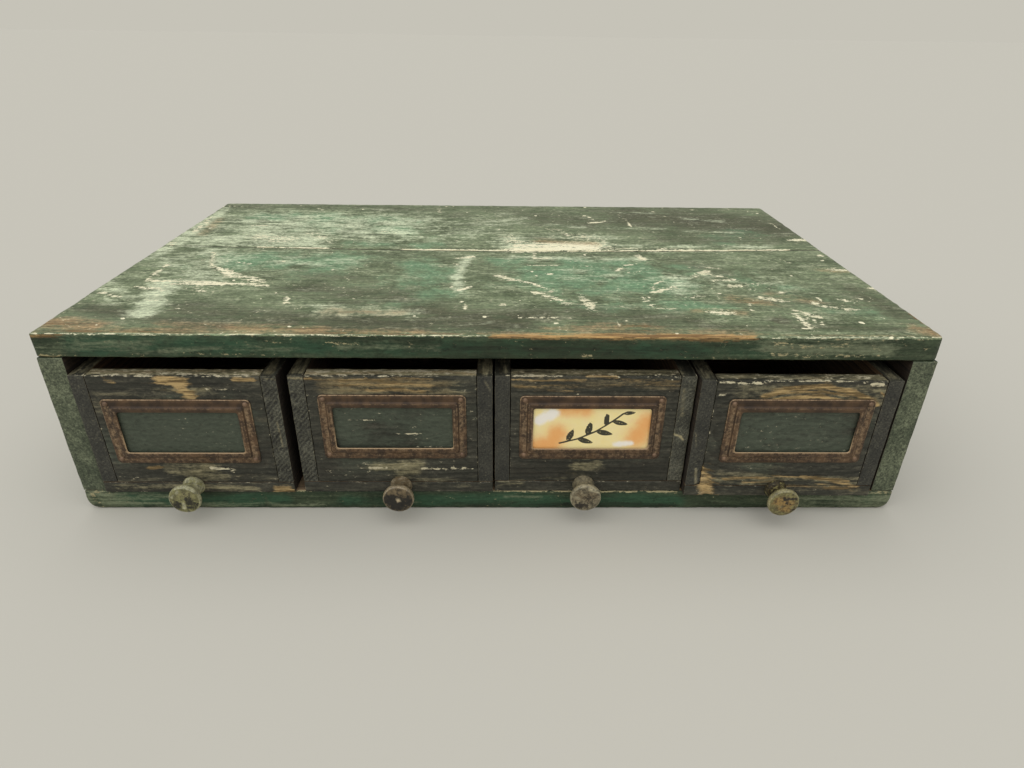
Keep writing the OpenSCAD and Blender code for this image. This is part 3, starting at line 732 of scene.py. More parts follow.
FADED_GRAIN = {
    "mottle": (42, 40, 8, 0.7), "streak": (30, 12, 7, 0.7), "fibre": (70, 3.4, 5, 0.65),
    "grit": (9, 6, 8, 0.74), "chip": (4.0, 2.6, 6, 0.7),
}
faded_paint = worn_paint(
    "sun faded green paint on pine", FADED_GREEN, TOP_SCUFFS, FADED_GRAIN, roughness=0.6,
)
for node in ("top_front_board", "top_rear_board"):
    low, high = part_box(node)
    at_front = node == "top_front_board"
    corners = (2, 1, low.y if at_front else high.y, TOP_CORNER[node])
    board = cut_board(node + "_worn", low, high, (TOP_CELL, TOP_CELL, 2.4 * MM), BOARD_EASE, corners)
    refine(board, lambda normal: normal.z > -0.5)
    edge_mm = lay_grain(board, low, high, along=0, ring_mm=7.0)
    places = corners_of(board)
    on_front = places[:, 1] < FRONT_FROM
    on_end = (np.abs(places[:, 0]) > ENDS_FROM) | (places[:, 1] > BACK_FROM)
    below = np.where(on_end, np.clip((places[:, 2] - FADED_AT) / FADED_OVER, 0, 1), 1.0)
    for kind in WEARS:
        flat = worn_along(places[:, [0, 1]], TOP_WEAR[kind]) * below
        edge = worn_along(places[:, [0, 2]], TOP_FRONT.get(kind, []))
        store(board, kind, np.where(on_front, edge, np.maximum(flat, CHALKED.get(kind, 0.0))))
    weather(board, edge_mm, hollow=0.3 * MM, knock=0.8 * MM, reach=4.0)
    if at_front:
        past = np.clip(places[:, :2] * [1, -1] - WORN_CORNER, 0, None)
        away = np.linalg.norm(past, axis=1)
        pulled = past * (1 - past.max(axis=1) / np.maximum(away, 1e-6))[:, None]
        press_in(board, pulled[:, 0] / pulled.max(), -pulled.max() * MM, direction="X")
        press_in(board, pulled[:, 1] / pulled.max(), pulled.max() * MM, direction="Y")
    middle = np.clip(1 - (places[:, 0] / SAG_HALF_WIDTH) ** 2, 0, 1)
    joint = np.clip(1 - np.abs(places[:, 1] - JOINT_Y) / SAG_REACH, 0, 1)
    press_in(board, middle * joint ** SAG_CURVE, -SAG, direction="Z")
    # The underside takes the pine darkened as painted shade
    finish_faces(
        board, [faded_paint, green_paint, shaded_dark_pine],
        lambda n, p: np.where(n[:, 2] > 0.5, 0, np.where((n[:, 2] < -0.6) & (p[:, 1] > PAINT_TO), 2, 1)),
    )
    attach(board, "case")
    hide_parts(node)


# Drawer boxes
# Four nailed boxes of sawn pine: sides that lap the front and the back, on a full-size bottom board.
# The fronts were painted almost black over green, and rubbed pale at the top edge and round the knobs.
DRAWERS = (1, 2, 3, 4)
FRONT_CELL = 1.1 * MM
END_CELL = 0.8 * MM
DRAWER_CELLS = {
    "bottom": (2.5 * MM, 6 * MM, 2.2 * MM),
    "left_side": (END_CELL, 5 * MM, END_CELL),
    "right_side": (END_CELL, 5 * MM, END_CELL),
    "front": (FRONT_CELL, 3 * MM, FRONT_CELL),
    "back": (5 * MM, 4 * MM, 5 * MM),
}
DRAWER_EASE = 0.35 * MM
DRAWER_TONES = {
    "deep": "#2d2d26", "coat": "#3b3b32", "chalk": "#555246", "teal": "#4c5446", "pale": "#938b6b",
    "stain": "#756648", "grime": "#1f1d18", "under": "#e8dfbc", "under_dirty": "#a0947a",
    "wood": "#c6a975", "wood_dark": "#73603f",
}
DRAWER_SCUFFS = {
    "figured": 0.4, "filled": 0.8, "chalk": 0.75, "lined": 0.5, "speckled": 0.4, "stray": 0.18,
    "reach": 1.2, "arris": 0.34, "scratches": 0.1, "fleck_mm": 9, "flecks": 0.12,
}
DRAWER_GRAIN = {
    "mottle": (50, 30, 7, 0.66), "streak": (46, 5.5, 6, 0.66), "fibre": (28, 2.6, 5, 0.65),
    "grit": (8, 5, 8, 0.74), "chip": (4.5, 2.2, 6, 0.7),
}
drawer_paint = worn_paint(
    "blackened paint on sawn pine", DRAWER_TONES, DRAWER_SCUFFS, DRAWER_GRAIN, roughness=0.5,
)
drawer_pine = aged_pine("dusty pine inside drawers", "#6f573c", "#4f3d2a", "#574a3a")
rough_end = painted_end_grain(
    "blackened paint on rough sawn ends", "#6f6e5d", "#48483c", "#1d1d17", "#a89d78", pore_mm=1.1,
)
smooth_end = painted_end_grain(
    "blackened paint on smooth ends with painted groove shade", "#4c4b40", "#34342c", "#1b1b16", "#8e8669", pore_mm=1.3,
)
# Hands rub the upper edges, most on the fronts and less on the sides as they run back
UPPER_EDGE = {True: {"pale": 0.95, "cream": 0.55, "bare": 0.35}, False: {"pale": 0.5, "bare": 0.2}}
EDGE_RUB = {1: 0.85, 2: 1.0, 3: 0.6, 4: 0.65}
EDGE_FROM_TOP = 0.5
EDGE_FROM_FRONT = 0.7
HANDLED_REACH = 130.0
# Behind the labels the paint kept its green
SLOT_INSET = 7 * MM
SLOT_GREEN = {1: 1.0, 2: 0.75, 3: 0.85, 4: 0.65}
END_SCUFFS = {
    1: [
        ([(-172, 24), (-163, 22)], 3.5, 0.8), ([(-164, 84), (-163, 62)], 1.2, 0.5),
        ([(-168, 122), (-160, 121)], 1.2, 0.5),
    ],
    2: [([(-150, 122), (-141, 121.5)], 1.4, 0.6), ([(-6, 120), (-2, 112)], 1.6, 0.45)],
    3: [
        ([(141, 73), (147, 71)], 0.8, 0.95), ([(146, 71), (149, 68)], 0.7, 0.9),
        ([(144, 112), (145, 90)], 3, 0.42),
    ],
    4: [
        ([(161, 44), (163, 30)], 1.6, 0.62), ([(158, 25), (164, 20)], 2.5, 0.7),
        ([(156, 78), (158, 66)], 1.4, 0.45),
    ],
}
# Slanted saw marks across the front ends of the sides, deep on three of them
SAW_PITCH = 2.8
SAW_SLANT = math.radians(40)
SAW_DEPTH = 0.9 * MM
SAW_EDGE = 1.5
SAWN_TO = 1.0
ROUGH_SAWN = {"drawer_1_right_side": 1.0, "drawer_2_left_side": 1.0, "drawer_3_right_side": 0.55}
SMOOTH_SAWN = 0.35
# How far behind the front the paint reaches on ends and fronts, and where the bare inside starts
END_PAINT = 2.5
FRONT_PAINT = 3.0
INSIDE_FROM = 12.5
DRAWER_WEAR = {
    1: {
        "bare": [
            ([(-244, 121), (-228, 119)], 4.2, 1.0), ([(-233, 117), (-224, 107)], 4.0, 1.0),
            ([(-190, 121.5), (-176, 121)], 2, 0.9), ([(-284, 120), (-278, 119)], 2, 0.6),
            ([(-270, 42), (-262, 43)], 2, 0.8), ([(-174, 22), (-164, 22)], 4, 0.85),
        ],
        "cream": [
            ([(-306, 123.7), (-268, 123.6)], 0.6, 0.62), ([(-262, 123.6), (-180, 123.6)], 0.5, 0.62),
            ([(-222, 42), (-204, 40)], 1.3, 0.85), ([(-296, 34), (-280, 33)], 0.8, 0.5),
            ([(-212, 113), (-186, 112)], 0.8, 0.75),
        ],
        "pale": [
            ([(-254, 41), (-222, 37)], 7, 0.62), ([(-228, 44), (-214, 34)], 5, 0.55),
            ([(-250, 113), (-210, 113)], 3, 0.4), ([(-300, 24), (-190, 22)], 3, 0.46),
            ([(-300, 104), (-176, 100)], 14, 0.22), ([(-296, 34), (-180, 32)], 9, 0.2),
        ],
        "teal": [([(-280, 70), (-206, 90)], 20, 0.7)],
        "grime": [([(-310, 60), (-300, 110)], 6, 0.5), ([(-200, 30), (-176, 60)], 8, 0.4)],
    },
    2: {
        "bare": [
            ([(-112, 118), (-48, 117)], 6, 0.54), ([(-92, 112), (-52, 111)], 4, 0.5),
            ([(-138, 122), (-100, 122)], 1.6, 0.6),
        ],
        "cream": [
            ([(-56, 41), (-16, 41)], 0.8, 0.85), ([(-98, 41.5), (-84, 42)], 0.9, 0.8),
            ([(-138, 123.7), (-60, 123.6)], 0.6, 0.66), ([(-80, 80), (-56, 80)], 0.4, 0.66),
            ([(-76, 74), (-54, 74)], 0.4, 0.62), ([(-110, 86), (-90, 86)], 0.4, 0.56),
            ([(-48, 90), (-38, 90)], 0.5, 0.64), ([(-68, 69), (-50, 69)], 0.5, 0.66),
            ([(-92, 92), (-66, 92)], 0.4, 0.56), ([(-62, 62), (-40, 62)], 0.4, 0.56),
        ],
        "pale": [
            ([(-92, 43), (-60, 45)], 5, 0.62), ([(-74, 36), (-62, 38)], 4, 0.6),
            ([(-120, 110), (-30, 112)], 8, 0.45), ([(-60, 30), (-20, 26)], 4, 0.3),
        ],
        "stain": [([(-124, 116), (-36, 115)], 7, 0.5)],
        "teal": [([(-110, 70), (-46, 88)], 20, 0.6)],
        "grime": [([(-134, 40), (-120, 28)], 8, 0.4)],
    },
    3: {
        "bare": [
            ([(14, 121), (68, 120)], 3, 0.5), ([(18, 115), (62, 113)], 3, 0.46),
            ([(84, 119), (140, 118)], 3, 0.42), ([(70, 124), (92, 124)], 1.4, 1.0),
        ],
        "cream": [
            ([(70, 124), (94, 123.6)], 0.9, 0.9), ([(110, 124), (140, 123.6)], 0.7, 0.6),
            ([(10, 124), (60, 123.8)], 0.6, 0.6),
        ],
        "pale": [
            ([(66, 44), (82, 45)], 5, 0.6), ([(6, 27), (22, 26)], 4, 0.55),
            ([(14, 118), (140, 118)], 6, 0.18), ([(40, 30), (60, 30)], 2, 0.4),
        ],
        "stain": [([(16, 116), (136, 116)], 5, 0.36)],
        "teal": [([(100, 40), (136, 60)], 10, 0.3)],
        "grime": [([(20, 36), (60, 40)], 8, 0.5), ([(90, 36), (138, 40)], 8, 0.5)],
    },
    4: {
        "bare": [
            ([(203, 111), (222, 117), (246, 119.5), (270, 114), (289, 104)], 2.6, 0.95),
            ([(198, 104), (222, 109), (244, 111), (270, 103)], 2.4, 0.95),
            ([(214, 113), (246, 115.5), (274, 108)], 2.0, 0.6), ([(290, 114), (299, 106)], 1.0, 0.6),
            ([(184, 35), (228, 37), (262, 35.5), (296, 27)], 1.3, 0.8),
            ([(200, 31), (226, 33)], 1, 0.7), ([(246, 37.5), (286, 33)], 1.5, 0.8),
            ([(258, 31), (292, 24)], 1, 0.6), ([(165, 38), (170, 30), (173, 21)], 6.5, 1.0),
            ([(164, 47), (166, 40)], 2.4, 1.0), ([(236, 28), (280, 26)], 0.9, 0.6),
        ],
        "cream": [
            ([(168, 122.4), (198, 122)], 0.9, 0.95), ([(282, 121), (289, 121)], 1.5, 0.95),
            ([(168, 112), (176, 111)], 0.9, 0.7), ([(200, 123.6), (280, 123.4)], 0.7, 0.7),
            ([(167, 38), (171, 26)], 2.6, 0.9), ([(169, 19), (176, 22)], 2.4, 0.8),
        ],
        "pale": [
            ([(190, 110), (290, 112)], 10, 0.4), ([(182, 34), (292, 30)], 7, 0.42),
            ([(200, 62), (270, 64)], 3, 0.3),
        ],
        "teal": [([(200, 68), (276, 84)], 20, 0.6)],
        "grime": [([(298, 40), (304, 100)], 6, 0.4), ([(176, 60), (182, 100)], 5, 0.4)],
    },
}
# The fourth front was sawn across a heart, so its year rings show as arches
HEART = (240.0, 76.0)
HEART_RADII = (100.0, 42.0)
HEART_RINGS = 9.0
# Its lower left corner is splintered off
SPLINTERED = clouds("splintered wood", size_mm=5, contrast=2.0)
SPLINTER = [([(166, 40), (170, 30), (172, 20)], 6, 1.0)]
SPLINTER_DEPTH = 3.2 * MM
SPLINTER_TO = 4.0
for i in DRAWERS:
    body = f"drawer_{i}"
    front_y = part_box(body + "_front")[0].y * 1000
    top_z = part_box(body + "_front")[1].z * 1000
    for piece, cells in DRAWER_CELLS.items():
        node = f"{body}_{piece}"
        low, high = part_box(node)
        is_side = piece.endswith("side")
        is_front = piece == "front"
        board = cut_board(node + "_worn", low, high, cells, DRAWER_EASE)
        edge_mm = lay_grain(board, low, high, along=1 if is_side else 0, ring_mm=5.0)
        places = corners_of(board)
        if node == "drawer_4_front":
            arches = np.linalg.norm((places[:, [0, 2]] - HEART) / HEART_RADII, axis=1)
            board.data.attributes.remove(board.data.attributes["figure"])
            store(board, "figure", arches * HEART_RINGS)
        on_top = (places[:, 2] > top_z - EDGE_FROM_TOP) & (places[:, 1] > front_y + EDGE_FROM_FRONT)
        handled = np.clip(1 - (places[:, 1] - front_y) / HANDLED_REACH, 0, 1)
        covered = np.zeros(len(places), bool)
        if is_front:
            label_low, label_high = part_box(body + "_label_frame")
            flat = places[:, [0, 2]] / 1000
            above = flat > [label_low.x + SLOT_INSET, label_low.z + SLOT_INSET]
            under = flat < [label_high.x - SLOT_INSET, label_high.z - SLOT_INSET]
            covered = np.all(above & under, axis=1)
        for kind in WEARS:
            worn = worn_along(places[:, [0, 2]], DRAWER_WEAR[i].get(kind, []))
            if kind != "cream":
                worn = np.where(covered, SLOT_GREEN[i] if kind == "teal" else 0.0, worn)
            rubbed = UPPER_EDGE[is_front].get(kind, 0.0) * EDGE_RUB[i] * handled
            store(board, kind, np.where(on_top, rubbed, worn))
        if is_side:
            across = places[:, 0] * math.cos(SAW_SLANT) - places[:, 2] * math.sin(SAW_SLANT)
            at_end = places[:, 1] < front_y + SAWN_TO
            groove = np.zeros(len(places))
            # The saw wandered a little, and tore some strokes deeper than others
            for k in np.nonzero(at_end)[0]:
                spot = Vector((places[k, 0], places[k, 2], 9.0 * i))
                phase = across[k] / SAW_PITCH + 0.45 * noise.noise(spot / 3.1)
                depth = 0.8 + 0.9 * noise.noise(spot / 6.5) + 0.6 * noise.noise(spot / 1.3)
                groove[k] = min(max(depth * (0.5 + 0.5 * math.sin(2 * math.pi * phase)), 0.0), 1.0)
            groove *= ROUGH_SAWN.get(node, SMOOTH_SAWN)
            # The grooves shape the ends, and also darken their colour as painted shade
            store(board, "groove", groove)
            store(board, "scuff", worn_along(places[:, [0, 2]], END_SCUFFS[i]))
            press_in(board, groove * np.clip(edge_mm / SAW_EDGE, 0, 1), SAW_DEPTH, direction="Y")
        weather(board, edge_mm, hollow=0.25 * MM, knock=0.5 * MM, reach=2.2)
        if i == 4:
            broken_off = worn_along(places[:, [0, 2]], SPLINTER) * (places[:, 1] < front_y + SPLINTER_TO)
            press_in(board, broken_off, SPLINTER_DEPTH, SPLINTERED, direction="Y")
        if piece == "back":
            finish_faces(board, [drawer_pine])
        elif is_side:
            inward = 1 if piece == "left_side" else -1
            end_grain = rough_end if node in ROUGH_SAWN else smooth_end
            # Outer faces of the sides, and faces hidden in the joints, take the pine darkened as painted
            # shade
            finish_faces(
                board, [drawer_paint, end_grain, drawer_pine, shaded_dark_pine],
                lambda n, p: np.select([
                    p[:, 1] < front_y + END_PAINT,
                    n[:, 2] > 0.5,
                    (n[:, 0] * inward > 0.5) & (p[:, 1] > front_y + INSIDE_FROM),
                ], [1, 0, 2], 3),
            )
        else:
            inside = 1 if is_front else 2
            # Faces hidden in the joints and under the drawer take the pine darkened as painted shade
            finish_faces(
                board, [drawer_paint, drawer_pine, shaded_dark_pine],
                lambda n, p: np.select([
                    (p[:, 1] < front_y + FRONT_PAINT) | (is_front & (n[:, 2] > 0.5)),
                    n[:, inside] > 0.5,
                ], [0, 1], 2),
            )
        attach(board, body)
        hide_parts(node)


# Nails and knob screws
# Wire nails hold the boards and a double-ended wood screw holds each knob, all plain iron.
# Most are hidden in the wood; the heads that show are rusty.
def rusty_iron():
    """Iron gone brown: rough rust with darker scale in patches of a millimetre or so."""
    material, tree, surface = new_material("rusty iron")
    place = add(tree, "TexCoord", {}, out="Object")
    scale = add(tree, "TexNoise", {"Vector": place, "Scale": 1000 / 1.5, "Detail": 3.0})
    colour = add(tree, "Mix", {0: scale, 6: linear("#35302b"), 7: linear("#6e4a33")}, **OVER)
    tree.links.new(colour, surface.inputs["Base Color"])
    surface.inputs["Metallic"].default_value = 0.4
    rough = add(tree, "MapRange", {"Value": scale, "To Min": 0.45, "To Max": 0.85})
    tree.links.new(rough, surface.inputs["Roughness"])
    return material


rust = rusty_iron()
iron_nodes = ["bottom_nails", "back_nails", "top_nails"]
iron_nodes += [f"drawer_{i}_{piece}" for i in DRAWERS for piece in ("nails", "knob_screw")]
for node in iron_nodes:
    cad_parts[node].data.materials.clear()
    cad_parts[node].data.materials.append(rust)


# Label frames
# Pressed sheet brass: a flat flange held by four domed pins, and a raised inner part over the card slot.
# The patina is chocolate brown, rubbed to a warm copper on the ridges and at the edges, with painted
# highlights and painted shade.
# Inset, height and corner radius from the outer edge to the slot, in millimetres
FRAME_SECTION = [
    (0, 0, 3.5), (0, 0.55, 3.5), (0.3, 0.85, 3.3), (0.9, 0.98, 3.0), (3.0, 1.04, 2.6), (5.3, 0.96, 2.2),
    (5.9, 1.06, 2.1), (6.2, 1.5, 2.0), (6.45, 2.0, 2.0), (6.9, 2.28, 2.0), (7.6, 2.32, 2.0),
    (9.3, 2.16, 2.0), (10.1, 2.12, 2.0), (10.4, 1.95, 2.0), (10.5, 1.7, 2.0), (10.4, 1.45, 2.0),
    (7.2, 1.4, 2.0), (6.9, 1.2, 2.0), (6.7, 0, 2.0),
]
CORNER_STEPS = 6


def nearest(places, place):
    """The number of the point that lies nearest to a place."""
    return int(np.argmin(np.sum((np.array(places) - np.array(place)) ** 2, axis=1)))


def loft(name, rings, closed):
    """A circle of edges drawn to the first ring's points, then extruded from ring to ring."""
    bpy.ops.object.select_all(action="DESELECT")
    bpy.ops.mesh.primitive_circle_add(vertices=len(rings[0]), radius=0.01, fill_type="NOTHING")
    piece = bpy.context.object
    piece.name = name
    piece.data.name = name
    for vertex, place in zip(piece.data.vertices, rings[0]):
        vertex.co = place
    bpy.ops.object.mode_set(mode="EDIT")
    bpy.ops.mesh.select_mode(type="EDGE")
    bpy.ops.mesh.select_all(action="SELECT")
    for before, after in zip(rings, rings[1:]):
        bpy.ops.mesh.extrude_region_move()
        mesh = bmesh.from_edit_mesh(piece.data)
        for vertex in [v for v in mesh.verts if v.select]:
            vertex.co = after[nearest(before, vertex.co)]
        bmesh.update_edit_mesh(piece.data)
    if closed:
        bpy.ops.mesh.select_all(action="DESELECT")
        bpy.ops.mesh.select_non_manifold()
        bpy.ops.mesh.bridge_edge_loops()
    else:
        bpy.ops.mesh.edge_face_add()
        bpy.ops.mesh.select_all(action="DESELECT")
        bpy.ops.mesh.select_non_manifold()
        bpy.ops.mesh.edge_face_add()
    bpy.ops.mesh.select_all(action="SELECT")
    bpy.ops.mesh.normals_make_consistent(inside=False)
    bpy.ops.object.mode_set(mode="OBJECT")
    return piece


# Brown patina over brass: satin, with copper showing on worn ridges, dark dirt in small patches, painted
# highlights on the lit edges and painted shade in the step and on the upper flange
def brown_brass(name, dark, warm_tone, bright):
    material, tree, surface = new_material(name)
    place = add(tree, "TexCoord", {}, out="Object")
    blotch = add(tree, "TexNoise", {"Vector": place, "Scale": 1000 / 10, "Detail": 6.0, "Roughness": 0.7})
    scuff = add(tree, "TexNoise", {"Vector": place, "Scale": 1000 / 2.5, "Detail": 4.0, "Roughness": 0.7})
    warm = add(
        tree, "MapRange", {"Value": blotch, "From Min": 0.38, "From Max": 0.64},
        interpolation_type="SMOOTHSTEP",
    )
    colour = add(tree, "Mix", {0: warm, 6: linear(dark), 7: linear(warm_tone)}, **OVER)
    # This attribute holds rubbing and painted highlights where positive, and painted shade where negative
    rub_and_painted_light = add(tree, "Attribute", {}, out="Fac", attribute_name="rub_and_painted_light")
    rubbed = broken(tree, rub_and_painted_light, scuff, grip=0.9, soft=0.2)
    colour = add(tree, "Mix", {0: rubbed, 6: colour, 7: linear(bright)}, **OVER)
    dirt = add(
        tree, "MapRange", {"Value": scuff, "From Min": 0.5, "From Max": 0.68, "To Min": 1.0, "To Max": 0.78},
    )
    # Painted shade: the colour darkens where the attribute is below zero, at the step and on the upper
    # flange
    painted_shade = add(tree, "MapRange", {"Value": rub_and_painted_light, "From Min": -0.4, "From Max": 0.0, "To Min": 0.6})
    for shade in (dirt, painted_shade):
        colour = add(tree, "Mix", {0: 1.0, 6: colour, 7: shade}, **TIMES)
    tree.links.new(colour, surface.inputs["Base Color"])
    surface.inputs["Metallic"].default_value = 0.45
    rough = add(tree, "MapRange", {"Value": rubbed, "To Min": 0.5, "To Max": 0.32})
    tree.links.new(rough, surface.inputs["Roughness"])
    bump = add(tree, "Bump", {"Height": scuff, "Strength": 0.2, "Distance": 0.2 * MM})
    tree.links.new(bump, surface.inputs["Normal"])
    return material


patina = brown_brass("brass with brown patina and painted light", "#42352a", "#67503a", "#b59a78")
rubbed_brass = brown_brass("brass pins rubbed bright", "#6c5644", "#8f745b", "#b3977c")
FRAME_HALF = (55.5, 28.5)
# How far each ring of the section is rubbed bright or darkened, on the upper half and on the lower
# The upper outer edge, brighter than the lower, and the lower inner lip are painted highlights; the negative
# rings at the foot of the step are painted shade
RING_RUB_AND_PAINTED_LIGHT = {
    1: (0.45, 0.25), 2: (0.55, 0.3), 3: (0.3, 0.3), 6: (-0.3, -0.3), 7: (-0.2, -0.3), 9: (0.4, 0.4),
    10: (0.3, 0.3), 12: (0.0, 0.6), 13: (0.0, 1.0), 14: (0.0, 1.0),
}
# The flange is rubbed lighter on the uprights and the lower rail; its upper rail is darkened as painted
# shade
FLAT_RUB_AND_PAINTED_SHADE = {"upright": 0.42, "upper": -0.25, "lower": 0.36}
for i in DRAWERS:
    node = f"drawer_{i}_label_frame"
    low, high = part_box(node)
    middle = (low + high) / 2
    rings = []
    for inset, height, corner_r in FRAME_SECTION:
        ring = []
        for turn, (sx, sz) in enumerate(((1, 1), (-1, 1), (-1, -1), (1, -1))):
            for step in range(CORNER_STEPS + 1):
                angle = math.radians(90 * turn + 90 * step / CORNER_STEPS)
                x = sx * (FRAME_HALF[0] - inset - corner_r) + corner_r * math.cos(angle)
                z = sz * (FRAME_HALF[1] - inset - corner_r) + corner_r * math.sin(angle)
                ring.append((middle.x + x * MM, high.y - height * MM, middle.z + z * MM))
        rings.append(ring)
    plate = loft(node + "_pressed", rings, closed=True)
    rub_and_painted_light = np.zeros(len(plate.data.vertices))
    points = [place for ring in rings for place in ring]
    for vertex in plate.data.vertices:
        ring, k = divmod(nearest(points, vertex.co), len(rings[0]))
        turn, step = divmod(k, CORNER_STEPS + 1)
        on_upright = (step < CORNER_STEPS / 2) == (turn % 2 == 0)
        is_above = vertex.co.z > middle.z
        flat_rub_and_painted_shade = FLAT_RUB_AND_PAINTED_SHADE["upright" if on_upright else "upper" if is_above else "lower"]
        rub_and_painted_light[vertex.index] = RING_RUB_AND_PAINTED_LIGHT.get(ring, (flat_rub_and_painted_shade, flat_rub_and_painted_shade))[0 if is_above else 1]
    store(plate, "rub_and_painted_light", rub_and_painted_light)
    finish_faces(plate, [patina])
    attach(plate, f"drawer_{i}")
    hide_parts(node)
    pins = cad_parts[f"drawer_{i}_frame_pins"]
    pins.data.materials.clear()
    pins.data.materials.append(rubbed_brass)


# Card in the third label frame
# A cut piece of printed card slid in behind the border, in warm yellow and orange.
# The print is a plain sprig of leaves on a washed ground.
CARD_CELL = 0.5 * MM
CARD_EASE = 0.1 * MM
low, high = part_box("drawer_3_card")
card = cut_board("drawer_3_card_print", low, high, (CARD_CELL, 1 * MM, CARD_CELL), CARD_EASE)
places = corners_of(card)[:, [0, 2]]


def leaf(base, tip, half_width):
    """How far each place of the card lies in one pointed leaf, 0 to 1, with a pale midrib."""
    run = np.subtract(tip, base, dtype=float)
    share = np.clip((places - base) @ run / (run @ run), 0, 1)
    away = np.linalg.norm(places - base - share[:, None] * run, axis=1)
    edge = half_width * np.sin(math.pi * share ** 0.75)
    return np.clip(0.5 + (edge - away) / 0.7, 0, 1) * np.clip(0.35 + away / 0.6, 0, 1)


STEM = [(52, 65), (66, 69), (80, 76), (92, 85), (100, 92)]
LEAVES = [
    ((58, 67), (63, 79), 2.4), ((66, 69), (79, 65), 2.3), ((73, 72), (76, 86), 2.5),
    ((80, 76), (94, 73), 2.4), ((87, 81), (88, 94), 2.1), ((92, 85), (105, 82), 2.1),
    ((100, 92), (110, 93), 1.7),
]
ink = worn_along(places, [(STEM, 0.6, 1.0)])
for base, tip, half_width in LEAVES:
    ink = np.maximum(ink, leaf(base, tip, half_width))
store(card, "ink", ink)
store(card, "wash", worn_along(places, [
    ([(34, 62), (46, 64), (50, 74)], 8, 0.85), ([(112, 70), (120, 84)], 9, 0.85),
    ([(54, 95), (72, 94)], 6, 0.7),
]))
store(card, "white", worn_along(places, [
    ([(36, 86), (46, 92)], 5, 0.8), ([(96, 64), (108, 65)], 3, 0.7),
]))
# Uncoated card under flat inks: dull, with a slight tooth that the washes catch on
card_print, tree, surface = new_material("printed card")
place = add(tree, "TexCoord", {}, out="Object")
tooth = add(tree, "TexNoise", {"Vector": place, "Scale": 1000 / 5, "Detail": 5.0, "Roughness": 0.65})
colour = add(tree, "Mix", {0: tooth, 6: linear("#ffe793"), 7: linear("#fff2c0")}, **OVER)
for kind, hex_colour, soft in (
    ("wash", "#f8b56c", 0.4), ("white", "#fff9ec", 0.2), ("ink", "#3c3a2a", 0.12),
):
    amount = add(tree, "Attribute", {}, out="Fac", attribute_name=kind)
    where = broken(tree, amount, tooth, grip=0.5, soft=soft)
    colour = add(tree, "Mix", {0: where, 6: colour, 7: linear(hex_colour)}, **OVER)
tree.links.new(colour, surface.inputs["Base Color"])
surface.inputs["Roughness"].default_value = 0.5
finish_faces(card, [card_print])
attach(card, "drawer_3")
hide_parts("drawer_3_card")


# Knobs
# Turned wooden mushroom knobs on double-ended screws, one low in the middle of each drawer.
# Their olive paint is rubbed off differently on each: a pale rim, a bare middle, a greasy neck.
# Radius, and distance out from the drawer, in millimetres
KNOB_SECTION = [
    (8.6, 0), (8.7, 0.7), (8.4, 1.6), (7.8, 3.2), (7.3, 5.0), (7.1, 6.8), (7.2, 8.6), (7.7, 10.4),
    (8.7, 12.0), (10.0, 13.4), (11.3, 14.6), (12.0, 15.6), (12.25, 16.7), (12.2, 17.8), (11.9, 18.7),
    (11.4, 19.25), (10.8, 19.5), (10.0, 19.6), (9.0, 19.7), (7.6, 19.8), (6.2, 19.87), (4.8, 19.92),
    (3.4, 19.96), (2.0, 20.0), (0.6, 20.0),
]
KNOB_SIDES = 44


# Worn paint on a turned knob: thin olive over tan wood, darkened by hands and rubbed pale on its rim; some
# pale marks are painted highlights
def knob_finish(name, coat, wood, dark, pale):
    material, tree, surface = new_material(name)
    place = add(tree, "TexCoord", {}, out="Object")
    blotch = add(tree, "TexNoise", {"Vector": place, "Scale": 1000 / 6, "Detail": 6.0, "Roughness": 0.7})
    grit = add(tree, "TexNoise", {"Vector": place, "Scale": 1000 / 2.4, "Detail": 5.0, "Roughness": 0.7})
    waves = add(tree, "Mix", {0: 0.5, 2: blotch, 3: grit})
    waves = add(tree, "MapRange", {"Value": waves, "From Min": 0.35, "From Max": 0.65})
    colour = linear(coat)
    for kind, tone in (("wood", wood), ("dark", dark), ("pale", pale)):
        amount = add(tree, "Attribute", {}, out="Fac", attribute_name=kind)
        where = broken(tree, amount, waves, grip=0.9, soft=0.2)
        colour = add(tree, "Mix", {0: where, 6: colour, 7: linear(tone)}, **OVER)
    shade = add(
        tree, "MapRange",
        {"Value": grit, "From Min": 0.38, "From Max": 0.62, "To Min": 1.4, "To Max": 0.35},
    )
    colour = add(tree, "Mix", {0: 1.0, 6: colour, 7: shade}, **TIMES)
    tree.links.new(colour, surface.inputs["Base Color"])
    surface.inputs["Roughness"].default_value = 0.45
    bump = add(tree, "Bump", {"Height": grit, "Strength": 0.35, "Distance": 0.3 * MM})
    tree.links.new(bump, surface.inputs["Normal"])
    return material


